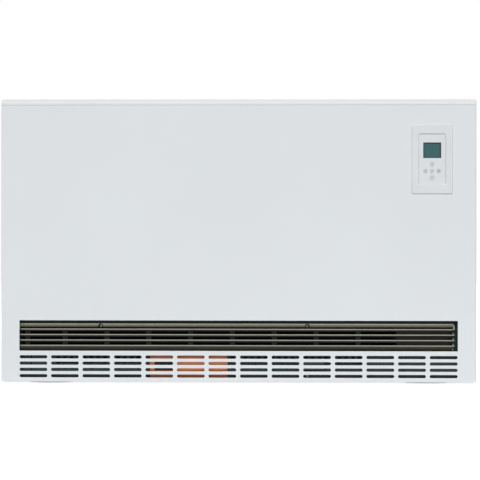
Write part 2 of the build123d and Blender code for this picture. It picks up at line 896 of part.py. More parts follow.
strap_count = int((partition_left - grille_left - strap_second) // strap_pitch) + 1
strap_xs = [grille_left + strap_first]
strap_xs += [grille_left + strap_second + n * strap_pitch for n in range(strap_count)]
with BuildPart() as grille_supports:
    with BuildSketch(facing(grille_rear)):
        for x in strap_xs:
            patch((x - strap_width / 2, x + strap_width / 2), (grille_bottom, grille_top))
    extrude(amount=-strap_thickness)
save(grille_supports, "grille_supports")

ear_front = grille_front - fit - sheet
with BuildPart() as grille_end_plates:
    for x_outer, inward in ((grille_left, 1), (grille_right, -1)):
        plate_span = (x_outer, x_outer + inward * end_plate)
        shoulder = grille_top - ear_radius - ear_width / 2
        block(plate_span, (grille_front + end_plate_setback, strap_rear), (grille_bottom, shoulder))
        block(plate_span, (ear_front, grille_rear), (grille_top - ear_drop, shoulder))
        flange_x = (x_outer, x_outer + inward * end_plate_flange)
        block(flange_x, (grille_rear, strap_rear), (grille_bottom, shoulder))
        ear_x = x_outer + inward * ear_width / 2
        ear_z = grille_top - ear_width / 2
        with BuildSketch(facing(ear_front)):
            with BuildLine():
                FilletPolyline(
                    (x_outer + inward * ear_reach, ear_z),
                    (ear_x, ear_z),
                    (ear_x, grille_top - ear_drop),
                    radius=ear_radius,
                )
            trace(line_width=ear_width)
        extrude(amount=-sheet)
save(grille_end_plates, "grille_end_plates")

# Blanking plate behind the grille where it crosses the compartment, with a flange on the partition
with BuildPart() as outlet_blanking_plate:
    plate_x = (partition_left, grille_right - end_plate_flange - fit)
    plate_z = (floor_top + fit, grille_top)
    flange_x = (partition_right + fit, partition_right + fit + sheet)
    block(plate_x, (grille_rear, grille_rear + sheet), plate_z)
    block(flange_x, (grille_rear, wall_step_y + edge_flange), plate_z)
save(outlet_blanking_plate, "outlet_blanking_plate")

# Intake screen: a channel between base tray and duct floor, perforated in front of the impellers,
# with a plain length beyond each end
screen_mid = (screen_front + screen_rear) / 2
perforated_left = fan_left
perforated_right = fan_right
hole_count = int((perforated_right - perforated_left) // screen_hole_pitch)
screen_spans = [
    (-screen_end, screen_left - screen_joint),
    (screen_left, screen_right),
    (screen_right + screen_joint, screen_end),
]
with BuildPart() as intake_screen:
    for span in screen_spans:
        with BuildSketch(section(span[0])):
            with BuildLine():
                Polyline(
                    (screen_mid + screen_flange, tray_top + sheet / 2),
                    (screen_mid, tray_top + sheet / 2),
                    (screen_mid, floor_bottom - fit - sheet / 2),
                    (screen_mid + screen_flange, floor_bottom - fit - sheet / 2),
                )
            trace(line_width=sheet)
        extrude(amount=span[1] - span[0])
    with BuildSketch(facing(screen_front)):
        with Locations(((perforated_left + perforated_right) / 2, tray_top + screen_hole_rise)):
            with GridLocations(screen_hole_pitch, 0, hole_count, 1):
                SlotOverall(screen_hole_height, screen_hole_width, rotation=90)
        with Locations(*((x, tray_top + screen_screw_rise) for x in screen_screw_xs)):
            Circle(screw_hole / 2)
    extrude(amount=-sheet, mode=Mode.SUBTRACT)
    for x in screen_screw_xs:
        notch_x = (x - screen_tab_width / 2 - fit, x + screen_tab_width / 2 + fit)
        notch_y = (screen_rear, screen_rear + screen_flange)
        block(notch_x, notch_y, (tray_top, tray_top + sheet), mode=Mode.SUBTRACT)
save(intake_screen, "intake_screen")

# Motor cover: a bowed sheet on the front of the screen, with a window at its left end
cover_x = (motor_x - motor_cover_width / 2, motor_x + motor_cover_width / 2)
cover_flat = screen_front - sheet / 2
cover_bottom = tray_top + motor_cover_margin
cover_top = floor_bottom - motor_cover_margin
cover_middle = (cover_bottom + cover_top) / 2
with BuildPart() as motor_cover:
    with BuildSketch(section(cover_x[0])):
        with BuildLine():
            Line((cover_flat, cover_bottom), (cover_flat, cover_bottom + motor_cover_edge))
            ThreePointArc(
                (cover_flat, cover_bottom + motor_cover_edge),
                (cover_flat - motor_cover_bulge, cover_middle),
                (cover_flat, cover_top - motor_cover_edge),
            )
            Line((cover_flat, cover_top - motor_cover_edge), (cover_flat, cover_top))
        trace(line_width=sheet)
    extrude(amount=motor_cover_width)
    with BuildSketch(facing(screen_front)):
        with Locations((cover_x[0] + cover_window_inset + cover_window_width / 2, cover_middle + fit)):
            RectangleRounded(cover_window_width, cover_window_height, cover_window_radius)
    extrude(amount=2 * motor_cover_bulge, mode=Mode.SUBTRACT)
save(motor_cover, "motor_cover")

# Connector of the fan lead, clipped to the front of the screen
with BuildPart() as fan_lead_connector:
    with BuildSketch(facing(screen_front)):
        with Locations((screen_screw_xs[1] + connector_offset, tray_top + connector_rise)):
            RectangleRounded(connector_width, connector_height, 2 * connector_bevel)
    extrude(amount=connector_depth)
    chamfer(fan_lead_connector.faces().sort_by(Axis.Y)[0].edges(), connector_bevel)
save(fan_lead_connector, "fan_lead_connector")

# Blower housing: scrolls under the impellers, tongues behind them and plates at their ends
impeller_spans = ((fan_left, left_impeller_end), (right_impeller_start, fan_right))
scroll_radius = fan_radius + scroll_gap
lip_angle = radians(scroll_lip_angle)
lip_point = (fan_y - scroll_radius * cos(lip_angle), fan_z - scroll_radius * sin(lip_angle))
duct_end = chamber_rear - fit
with BuildPart() as fan_scroll:
    for x_from, x_to in impeller_spans:
        with BuildSketch(section(x_from - fan_end_gap)):
            with BuildLine():
                foot_z = tray_top + fan_sheet / 2
                Polyline(
                    (lip_point[0] - scroll_lip + scroll_foot, foot_z),
                    (lip_point[0] - scroll_lip, foot_z),
                    (lip_point[0] - scroll_lip, lip_point[1]),
                    lip_point,
                )
                wrap = CenterArc((fan_y, fan_z), scroll_radius, 180 + scroll_lip_angle, 90 - scroll_lip_angle)
                growth = JernArc(wrap @ 1, wrap % 1, scroll_growth_radius, scroll_growth_angle)
                rise = (duct_end - (growth @ 1).X) * (growth % 1).Y / (growth % 1).X
                Line(growth @ 1, (duct_end, (growth @ 1).Y + rise))
            trace(line_width=fan_sheet)
        extrude(amount=x_to - x_from + 2 * fan_end_gap)
save(fan_scroll, "fan_scroll")

tongue_radius = fan_radius + tongue_gap + fan_sheet / 2
tip_angle = radians(tongue_angle)
tongue_tip = (fan_y + tongue_radius * cos(tip_angle), fan_z + tongue_radius * sin(tip_angle))
tongue_top = floor_bottom - fan_sheet / 2
tongue_root = tongue_tip[0] - tongue_seat / 2
with BuildPart() as vortex_tongue:
    for x_from, x_to in impeller_spans:
        with BuildSketch(section(x_from - fan_end_gap)):
            with BuildLine():
                Polyline(
                    (tongue_root - tongue_seat, tongue_top),
                    (tongue_root, tongue_top),
                    tongue_tip,
                    (duct_end - fan_sheet, tongue_top - tongue_drop),
                    (duct_end - fan_sheet, tongue_top),
                )
            trace(line_width=fan_sheet)
        extrude(amount=x_to - x_from + 2 * fan_end_gap)
save(vortex_tongue, "vortex_tongue")

# End plates: the outer ones hold the shaft's bushes, the inner ones let the shaft through
plate_front = lip_point[0] - scroll_lip - fan_sheet
outer_plates = (fan_left - fan_end_gap - sheet, fan_right + fan_end_gap)
inner_plates = (left_impeller_end + fan_end_gap, right_impeller_start - fan_end_gap - sheet)
with BuildPart() as fan_end_plates:
    for x in outer_plates + inner_plates:
        with BuildSketch(section(x)):
            patch((plate_front, duct_end), (tray_top, floor_bottom))
            with Locations((fan_y, fan_z)):
                Circle(bush_diameter / 2 + running_fit, mode=Mode.SUBTRACT)
        extrude(amount=sheet)
save(fan_end_plates, "fan_end_plates")

# Motor brackets: uprights on the base tray either side of the stator, which they clamp between
# spacer tubes
stator_y = (fan_y - stator_front, fan_y + stator_rear)
stator_z = (fan_z - stator_half_height, fan_z + stator_half_height)
clamp_centre = ((stator_y[0] + stator_y[1]) / 2, fan_z)
clamp_spacing_y = stator_y[1] - stator_y[0] - 2 * spacer_tube_inset
clamp_spacing_z = stator_z[1] - stator_z[0] - 2 * spacer_tube_inset
bracket_offset = stator_stack / 2 + motor_bracket_gap
with BuildPart() as motor_brackets:
    for outward in (-1, 1):
        plate_x = (motor_x + outward * bracket_offset, motor_x + outward * (bracket_offset + thick_sheet))
        with BuildSketch(section(min(plate_x))):
            patch(stator_y, (tray_top, stator_z[1]))
            with Locations((fan_y, fan_z)):
                Circle(bush_diameter / 2 + running_fit, mode=Mode.SUBTRACT)
        extrude(amount=thick_sheet)
        foot_x_span = (plate_x[0], plate_x[1] + outward * motor_foot)
        block(foot_x_span, stator_y, (tray_top, tray_top + thick_sheet))
        stator_face = motor_x + outward * stator_stack / 2
        with BuildSketch(section(min(stator_face, plate_x[0]))):
            with Locations(clamp_centre):
                with GridLocations(clamp_spacing_y, clamp_spacing_z, 2, 2):
                    Circle(spacer_tube / 2)
        extrude(amount=motor_bracket_gap)
save(motor_brackets, "motor_brackets")


def bush(x_centre):
    """Plain bearing bush on the shaft's axis."""
    with Locations(Plane(origin=(x_centre, fan_y, fan_z), z_dir=(1, 0, 0))):
        Cylinder(bush_diameter / 2, bush_length)
        Cylinder(shaft_diameter / 2 + running_fit, bush_length, mode=Mode.SUBTRACT)


with BuildPart() as fan_bearings:
    for x in outer_plates:
        bush(x + sheet / 2)
    for outward in (-1, 1):
        bush(motor_x + outward * (bracket_offset + thick_sheet / 2))
save(fan_bearings, "fan_bearings")

# Stator of the shaded-pole motor: a laminated stack with the rotor's bore and the coil's window
coil_leg_y = (stator_y[1] - coil_leg, stator_y[1])
coil_window_y = (coil_leg_y[0] - coil_window, coil_leg_y[0])
coil_window_z = (fan_z - coil_half_height - fit, fan_z + coil_half_height + fit)
with BuildPart() as motor_stator:
    with BuildSketch(section(motor_x - stator_stack / 2)) as lamination:
        patch(stator_y, stator_z)
        fillet(lamination.vertices(), stator_corner)
        with Locations((fan_y, fan_z)):
            Circle(rotor_diameter / 2 + rotor_gap, mode=Mode.SUBTRACT)
        patch(coil_window_y, coil_window_z, mode=Mode.SUBTRACT)
    extrude(amount=stator_stack)
save(motor_stator, "motor_stator")

coil_reach_x = stator_stack / 2 + coil_overhang
with BuildPart() as motor_coil:
    coil_z = (fan_z - coil_half_height, fan_z + coil_half_height)
    coil_y = (coil_window_y[0] + fit, coil_leg_y[1] + coil_overhang)
    with BuildSketch(level(coil_z[0])):
        with Locations((motor_x, sum(coil_y) / 2)):
            RectangleRounded(2 * coil_reach_x, coil_y[1] - coil_y[0], coil_corner)
        leg_x = (motor_x - stator_stack / 2 - fit, motor_x + stator_stack / 2 + fit)
        patch(leg_x, (coil_leg_y[0] - fit, coil_leg_y[1] + fit), mode=Mode.SUBTRACT)
    extrude(amount=coil_z[1] - coil_z[0])
save(motor_coil, "motor_coil")

# Rotating parts: shaft, motor rotor and both impellers
shaft_plane = Plane(origin=(outer_plates[0] + sheet / 2 - bush_length, fan_y, fan_z), z_dir=(1, 0, 0))
shaft_length = outer_plates[1] - outer_plates[0] + 2 * bush_length
with BuildPart() as fan_shaft:
    with BuildSketch(shaft_plane):
        Circle(shaft_diameter / 2)
    extrude(amount=shaft_length)
    chamfer(fan_shaft.edges().filter_by(GeomType.CIRCLE), shaft_bevel)
save(fan_shaft, "fan_shaft")

with BuildPart() as motor_rotor:
    with BuildSketch(section(motor_x - stator_stack / 2)):
        with Locations((fan_y, fan_z)):
            Circle(rotor_diameter / 2)
            Circle(shaft_diameter / 2, mode=Mode.SUBTRACT)
    extrude(amount=stator_stack)
save(motor_rotor, "motor_rotor")

blade_tip = (fan_radius * cos(radians(blade_lean)), fan_radius * sin(radians(blade_lean)))
blade_middle_radius = (fan_radius + blade_inner_radius) / 2
blade_middle_angle = radians(blade_lean / 2 - blade_bow)
blade_middle = (blade_middle_radius * cos(blade_middle_angle), blade_middle_radius * sin(blade_middle_angle))


def impeller(x_from, x_to):
    """Crossflow impeller: curved blades between end discs on hubs, with stiffening rings along it."""
    ring_gaps = int((x_to - x_from) // ring_spacing)
    ring_step = (x_to - x_from - ring_thickness) / ring_gaps
    with BuildPart() as drum:
        with BuildSketch(Plane(origin=(x_from, fan_y, fan_z), x_dir=(0, 1, 0), z_dir=(1, 0, 0))):
            with PolarLocations(0, blade_count):
                with BuildLine() as camber:
                    ThreePointArc((blade_inner_radius, 0), blade_middle, blade_tip)
                trace(camber.line, line_width=fan_sheet)
        extrude(amount=x_to - x_from)
        for ring in range(ring_gaps + 1):
            ring_plane = Plane(origin=(x_from + ring * ring_step, fan_y, fan_z), z_dir=(1, 0, 0))
            with BuildSketch(ring_plane):
                Circle(fan_radius)
                if 0 < ring < ring_gaps:
                    Circle(blade_inner_radius, mode=Mode.SUBTRACT)
            extrude(amount=ring_thickness)
        for hub_start in (x_from, x_to - hub_length):
            with BuildSketch(Plane(origin=(hub_start, fan_y, fan_z), z_dir=(1, 0, 0))):
                Circle(hub_diameter / 2)
            extrude(amount=hub_length)
        with BuildSketch(Plane(origin=(x_from, fan_y, fan_z), z_dir=(1, 0, 0))):
            Circle(shaft_diameter / 2)
        extrude(amount=x_to - x_from, mode=Mode.SUBTRACT)
    return drum


left_impeller = impeller(*impeller_spans[0])
right_impeller = impeller(*impeller_spans[1])
save(left_impeller, "left_impeller")
save(right_impeller, "right_impeller")

# Bricks of the storage core: air passages front and rear, and a channel for the elements where each
# pair of courses meets
brick_joint = fit
element_channel = element_diameter / 2 + fit
channel_half_width = element_leg_spacing / 2 + element_diameter / 2 + fit
with BuildPart() as storage_bricks:
    for row in range(brick_rows):
        with BuildSketch(level(core_bottom + row * brick_height)):
            with Locations(core_middle):
                with GridLocations(brick_width, 0, brick_columns, 1):
                    Rectangle(brick_width - brick_joint, brick_depth)
            air_slots()
        extrude(amount=brick_height - brick_joint)
    channel_y = (core_middle[1] - channel_half_width, core_middle[1] + channel_half_width)
    for z in element_levels:
        channel_z = (z - element_channel, z + element_channel)
        block((core_left, core_right), channel_y, channel_z, mode=Mode.SUBTRACT)
save(storage_bricks, "storage_bricks")

# Heating elements: sheathed hairpins along the core, with a terminal pin at each end
bend_x = core_left + element_end_margin + element_leg_spacing / 2
sheath_end = partition_right + element_sheath_out
with BuildPart() as heating_elements:
    for z in element_levels:
        with BuildLine(level(z)) as hairpin:
            front_leg = Line((sheath_end, element_legs[0]), (bend_x, element_legs[0]))
            turn = RadiusArc(front_leg @ 1, (bend_x, element_legs[1]), element_leg_spacing / 2)
            Line(turn @ 1, (sheath_end, element_legs[1]))
        with BuildSketch(Plane(origin=(sheath_end, element_legs[0], z), z_dir=(-1, 0, 0))):
            Circle(element_diameter / 2)
        sweep(path=hairpin.line)
        for y in element_legs:
            with BuildSketch(Plane(origin=(sheath_end, y, z), z_dir=(1, 0, 0))):
                Circle(element_pin / 2)
            extrude(amount=element_pin_length)
save(heating_elements, "heating_elements")

# Insulation: front and rear slabs, end slabs with holes for the elements, and slabs under and over
# the core with the air passages and the return channels
slab_z = (core_tray_top, inner_top)
core_slab_y = (core_front - core_gap, core_rear + core_gap)
with BuildPart() as wall_insulation:
    block((inner_left, partition_left), (inner_front + sheet, core_slab_y[0] - fit), slab_z)
    block((inner_left, partition_left), (core_slab_y[1] + fit, inner_rear - fit), slab_z)
    block((inner_left, core_left - core_gap), core_slab_y, slab_z)
    with BuildSketch(section(core_right + core_gap)):
        patch(core_slab_y, slab_z)
        for z in element_levels:
            with Locations(*((y, z) for y in element_legs)):
                Circle(element_diameter / 2 + fit, mode=Mode.SUBTRACT)
        with Locations((sensor_y, sensor_z)):
            Circle(sensor_diameter / 2 + fit, mode=Mode.SUBTRACT)
    extrude(amount=partition_left - core_right - core_gap)
save(wall_insulation, "wall_insulation")

bed_x = (core_left - core_gap + fit, core_right + core_gap - fit)
bed_y = (core_slab_y[0] + fit, core_slab_y[1] - fit)
with BuildPart() as bottom_insulation:
    with BuildSketch(level(core_tray_top)):
        patch(bed_x, bed_y)
        air_slots()
    extrude(amount=bottom_insulation_thickness)
save(bottom_insulation, "bottom_insulation")

with BuildPart() as top_insulation:
    block(bed_x, bed_y, (core_top, inner_top))
    with BuildSketch(level(core_top)):
        with Locations(core_middle):
            with GridLocations(brick_width, 0, brick_columns, 1):
                Rectangle(air_slot_length, 2 * air_slot_offset + air_slot_width)
    extrude(amount=return_channel_depth, mode=Mode.SUBTRACT)
save(top_insulation, "top_insulation")

# Overheat thermostat: its body on the partition, its probe through the insulation up to the core
with BuildPart() as overheat_thermostat:
    with BuildSketch(section(partition_right)):
        with Locations((sensor_y, sensor_z)):
            RectangleRounded(thermostat_size, thermostat_size, thermostat_corner)
    extrude(amount=thermostat_depth)
    with BuildSketch(section(core_right + core_gap)):
        with Locations((sensor_y, sensor_z)):
            Circle(sensor_diameter / 2)
    extrude(amount=partition_right - core_right - core_gap)
save(overheat_thermostat, "overheat_thermostat")

# Power board on the partition: a circuit board on posts, with a relay for each element and a transformer
board_y = (element_legs[1] + power_board_clearance, inner_rear - power_board_margin)
board_z = (core_bottom + power_board_rise, core_bottom + power_board_rise + power_board_height)
board_x = partition_right + power_board_standoff
component_x = board_x + board_thickness
relay_y = board_y[0] + relay_width / 2 + board_margin
relay_zs = [board_z[0] + relay_pitch * (n + 0.5) for n in range(len(element_levels))]
with BuildPart() as power_board:
    block((board_x, component_x), board_y, board_z)
    for y in (board_y[0] + board_margin, board_y[1] - board_margin):
        for z in (board_z[0] + board_margin, board_z[1] - board_margin):
            with Locations(Plane(origin=(partition_right, y, z), z_dir=(1, 0, 0))):
                Cylinder(board_margin, power_board_standoff, align=(Align.CENTER, Align.CENTER, Align.MIN))
    component_span = (component_x, component_x + relay_height)
    relay_y_span = (relay_y - relay_width / 2, relay_y + relay_width / 2)
    for z in relay_zs:
        block(component_span, relay_y_span, (z - relay_length / 2, z + relay_length / 2))
    transformer_y = (relay_y + relay_width, board_y[1] - 2 * board_margin)
    block(component_span, transformer_y, (relay_zs[0] - relay_length / 2, relay_zs[0] + relay_length))
save(power_board, "power_board")

# Terminal block for the supply, low on the partition, with a clamp screw over each way
terminal_z = (core_tray_top + terminal_rise, core_tray_top + terminal_rise + terminal_height)
terminal_y = (board_y[1] - terminal_pitch * terminal_ways, board_y[1])
terminal_x = (partition_right, partition_right + terminal_depth)
with BuildPart() as terminal_block:
    block(terminal_x, terminal_y, terminal_z)
    with BuildSketch(section(terminal_x[1])):
        with Locations((sum(terminal_y) / 2, sum(terminal_z) / 2)):
            with GridLocations(terminal_pitch, 0, terminal_ways, 1):
                Circle(terminal_screw / 2)
    extrude(amount=-terminal_depth / 2, mode=Mode.SUBTRACT)
    with BuildSketch(level(terminal_z[0])):
        with Locations((sum(terminal_x) / 2, sum(terminal_y) / 2)):
            with GridLocations(0, terminal_pitch, 1, terminal_ways):
                Circle(terminal_screw / 2)
    extrude(amount=terminal_height / 3, mode=Mode.SUBTRACT)
save(terminal_block, "terminal_block")

# Leads: one from each element's rear pin to its relay, and a common return from the front pins
pin_end = sheath_end + element_pin_length
return_x = pin_end + lead_step
return_z = sum(terminal_z) / 2
with BuildPart() as heater_leads:
    for n, z in enumerate(element_levels):
        drop_x = pin_end + lead_step * (n + 2)
        relay_face = component_x + relay_height
        with BuildLine() as route:
            FilletPolyline(
                (pin_end, element_legs[1], z),
                (drop_x, element_legs[1], z),
                (drop_x, element_legs[1], relay_zs[n]),
                (drop_x, relay_y, relay_zs[n]),
                (relay_face, relay_y, relay_zs[n]),
                radius=lead_bend,
            )
        with BuildSketch(Plane(origin=route.line @ 0, z_dir=route.line % 0)):
            Circle(lead_diameter / 2)
        sweep(path=route.line)
    with BuildLine() as return_route:
        FilletPolyline(
            (pin_end, element_legs[0], element_levels[-1]),
            (return_x, element_legs[0], element_levels[-1]),
            (return_x, element_legs[0], return_z),
            (return_x, terminal_y[0] + terminal_pitch / 2, return_z),
            (terminal_x[1], terminal_y[0] + terminal_pitch / 2, return_z),
            radius=lead_bend,
        )
    with BuildSketch(Plane(origin=return_route.line @ 0, z_dir=return_route.line % 0)):
        Circle(lead_diameter / 2)
    sweep(path=return_route.line)
    for z in element_levels[:-1]:
        with BuildSketch(Plane(origin=(pin_end, element_legs[0], z), z_dir=(1, 0, 0))):
            Circle(lead_diameter / 2)
        extrude(amount=lead_step)
save(heater_leads, "heater_leads")

# Control panel: the frame stands on the front panel and its spigot passes through the cut-out
plate_size = (cutout_width - 2 * frame_wall - 4 * fit, cutout_height - 2 * frame_wall - 4 * fit)
with BuildPart() as control_frame:
    with BuildSketch(facing(front)):
        with Locations((control_x, control_z)):
            RectangleRounded(frame_width, frame_height, frame_radius)
    extrude(amount=bezel_proud)
    chamfer(control_frame.faces().sort_by(Axis.Y)[0].edges(), frame_bevel)
    with BuildSketch(facing(front)):
        with Locations((control_x, control_z)):
            RectangleRounded(recess_width - 2 * recess_slope, recess_height - 2 * recess_slope, recess_radius)
    with BuildSketch(facing(front - bezel_proud)):
        with Locations((control_x, control_z)):
            RectangleRounded(recess_width, recess_height, recess_radius)
    loft(mode=Mode.SUBTRACT)
    with BuildSketch(facing(front)):
        with Locations((control_x, control_z)):
            RectangleRounded(cutout_width - 2 * fit, cutout_height - 2 * fit, recess_radius)
            Rectangle(plate_size[0] + 2 * fit, plate_size[1] + 2 * fit, mode=Mode.SUBTRACT)
    extrude(amount=-frame_spigot)
save(control_frame, "control_frame")

# Control plate: seated in the spigot, with a hole for each button and one for the display window
with BuildPart() as control_plate:
    with BuildSketch(facing(front)):
        with Locations((control_x, control_z)):
            Rectangle(*plate_size)
        with Locations((control_x, control_z + display_rise)):
            Rectangle(display_width + 2 * button_gap, display_height + 2 * button_gap, mode=Mode.SUBTRACT)
        for across, up in button_places.values():
            with Locations((button_centre[0] + across * button_pitch, button_centre[1] + up * button_pitch)):
                Circle(button_diameter / 2 + button_gap, mode=Mode.SUBTRACT)
    extrude(amount=-control_plate_thickness)
    display_rims = control_plate.faces().sort_by(Axis.Y)[0].inner_wires().sort_by(SortBy.LENGTH)[-1]
    chamfer(display_rims.edges(), display_bevel)
save(control_plate, "control_plate")

# Display: a window set back in the plate with a rim behind it, and the module on the board
with BuildPart() as display_window:
    with BuildSketch(facing(front + display_setback)):
        with Locations((control_x, control_z + display_rise)):
            Rectangle(display_width, display_height)
    extrude(amount=-(control_plate_thickness - display_setback))
    with BuildSketch(facing(plate_rear)):
        with Locations((control_x, control_z + display_rise)):
            Rectangle(display_width + 2 * display_rim, display_height + 2 * display_rim)
    extrude(amount=-sheet)
save(display_window, "display_window")

with BuildPart() as display_module:
    with BuildSketch(facing(plate_rear + sheet + fit)):
        with Locations((control_x, control_z + display_rise)):
            Rectangle(display_width + display_rim, display_height + display_rim)
    extrude(amount=-(board_front - plate_rear - sheet - fit))
save(display_module, "display_module")

# Buttons: a dished cap through the plate, a collar that keeps it in, and a stem over its switch
dish_radius = ((button_diameter / 2 - button_edge) ** 2 + button_dish**2) / (2 * button_dish)
for name, (across, up) in button_places.items():
    button_x = button_centre[0] + across * button_pitch
    button_z = button_centre[1] + up * button_pitch
    with BuildPart() as button:
        with BuildSketch(facing(front - button_proud)):
            with Locations((button_x, button_z)):
                Circle(button_diameter / 2)
        extrude(amount=-(collar_front - front + button_proud))
        fillet(button.faces().sort_by(Axis.Y)[0].edges(), button_edge)
        with Locations((button_x, front - button_proud - dish_radius + button_dish, button_z)):
            Sphere(dish_radius, mode=Mode.SUBTRACT)
        with BuildSketch(facing(collar_front)):
            with Locations((button_x, button_z)):
                Circle(button_diameter / 2 + button_collar)
        extrude(amount=-button_collar_thickness)
        with BuildSketch(facing(collar_front + button_collar_thickness)):
            with Locations((button_x, button_z)):
                Circle(button_stem / 2)
        extrude(amount=-button_stem_length)
    save(button, name)

# Control board: the circuit board with a press switch under each button
board_size = (plate_size[0] - 2 * housing_wall - 2 * fit, plate_size[1] - 2 * housing_wall - 2 * fit)
with BuildPart() as control_board:
    with BuildSketch(facing(board_front)):
        with Locations((control_x, control_z)):
            Rectangle(*board_size)
    extrude(amount=-board_thickness)
    for across, up in button_places.values():
        switch_place = (button_centre[0] + across * button_pitch, button_centre[1] + up * button_pitch)
        with BuildSketch(facing(board_front)):
            with Locations(switch_place):
                Rectangle(switch_size, switch_size)
        extrude(amount=board_front - stem_rear - button_travel - 2 * fit)
        with BuildSketch(facing(board_front)):
            with Locations(switch_place):
                Circle(plunger_diameter / 2)
        extrude(amount=board_front - stem_rear - button_travel - fit)
save(control_board, "control_board")

# Housing behind the controls: an open-fronted box with posts under the board's corners
housing_front = plate_rear + fit
housing_rear = housing_front + housing_depth
board_rear = board_front + board_thickness
with BuildPart() as control_housing:
    with BuildSketch(facing(housing_front)):
        with Locations((control_x, control_z)):
            Rectangle(*plate_size)
    extrude(amount=-housing_depth)
    with BuildSketch(facing(housing_front)):
        with Locations((control_x, control_z)):
            Rectangle(plate_size[0] - 2 * housing_wall, plate_size[1] - 2 * housing_wall)
    extrude(amount=-(housing_depth - housing_wall), mode=Mode.SUBTRACT)
    with BuildSketch(facing(board_rear)):
        with Locations((control_x, control_z)):
            with GridLocations(board_size[0] - housing_post, board_size[1] - housing_post, 2, 2):
                Rectangle(housing_post, housing_post)
    extrude(amount=-(housing_rear - housing_wall - board_rear))
save(control_housing, "control_housing")

# Screws: back panel to side flanges, grille to the core tray's angle, and intake screen to its tabs
with BuildPart() as screws:
    for x in (-screw_x, screw_x):
        for n in range(screw_rows):
            z = back_middle_z + (n - (screw_rows - 1) / 2) * casing_screw_pitch
            pan_screw(Plane(origin=(x, rear, z), z_dir=(0, 1, 0)))
    for x in screw_xs:
        pan_screw(Plane(origin=(x, grille_rear - sheet, grille_screw_z), z_dir=(0, -1, 0)))
    for x in screen_screw_xs:
        seat = Plane(origin=(x, screen_front, tray_top + screen_screw_rise), z_dir=(0, -1, 0))
        pan_screw(seat, screen_screw_length)
save(screws, "screws")
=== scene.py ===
import math

import bmesh
import bpy
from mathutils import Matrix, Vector


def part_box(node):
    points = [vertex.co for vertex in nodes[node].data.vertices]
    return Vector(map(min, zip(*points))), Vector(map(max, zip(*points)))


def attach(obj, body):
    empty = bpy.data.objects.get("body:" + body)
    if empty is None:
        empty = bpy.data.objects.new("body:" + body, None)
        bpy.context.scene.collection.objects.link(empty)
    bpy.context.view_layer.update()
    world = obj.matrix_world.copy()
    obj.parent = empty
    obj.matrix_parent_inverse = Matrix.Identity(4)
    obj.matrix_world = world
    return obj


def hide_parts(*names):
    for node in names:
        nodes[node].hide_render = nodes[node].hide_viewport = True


# Storage heater: every finish, the screw heads, the print on the keys, the small trim of the grille and the
# feet, the floor, the lights and the camera.
# Metres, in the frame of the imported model: +Z up, the front faces -Y.
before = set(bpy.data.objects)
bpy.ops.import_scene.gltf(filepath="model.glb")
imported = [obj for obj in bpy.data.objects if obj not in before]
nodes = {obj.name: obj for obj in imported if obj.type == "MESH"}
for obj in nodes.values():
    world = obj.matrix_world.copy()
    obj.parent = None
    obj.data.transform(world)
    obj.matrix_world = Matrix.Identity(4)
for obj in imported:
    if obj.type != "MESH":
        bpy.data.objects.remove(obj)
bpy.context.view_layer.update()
MM = 0.001


# Colours and shader nodes
def srgb(red, green, blue):
    """Linear colour of an 8-bit screen colour."""
    def linear(value):
        value /= 255
        return value / 12.92 if value <= 0.04045 else ((value + 0.055) / 1.055) ** 2.4
    return (linear(red), linear(green), linear(blue), 1.0)


def shade(colour, factor):
    """The same colour, lighter or darker."""
    return (colour[0] * factor, colour[1] * factor, colour[2] * factor, 1.0)


def new_node(tree, kind, **numbers):
    """Shader node of a kind, with numbers or colours on its inputs by name."""
    node = tree.nodes.new("ShaderNode" + kind)
    for name, number in numbers.items():
        node.inputs[name].default_value = number
    return node


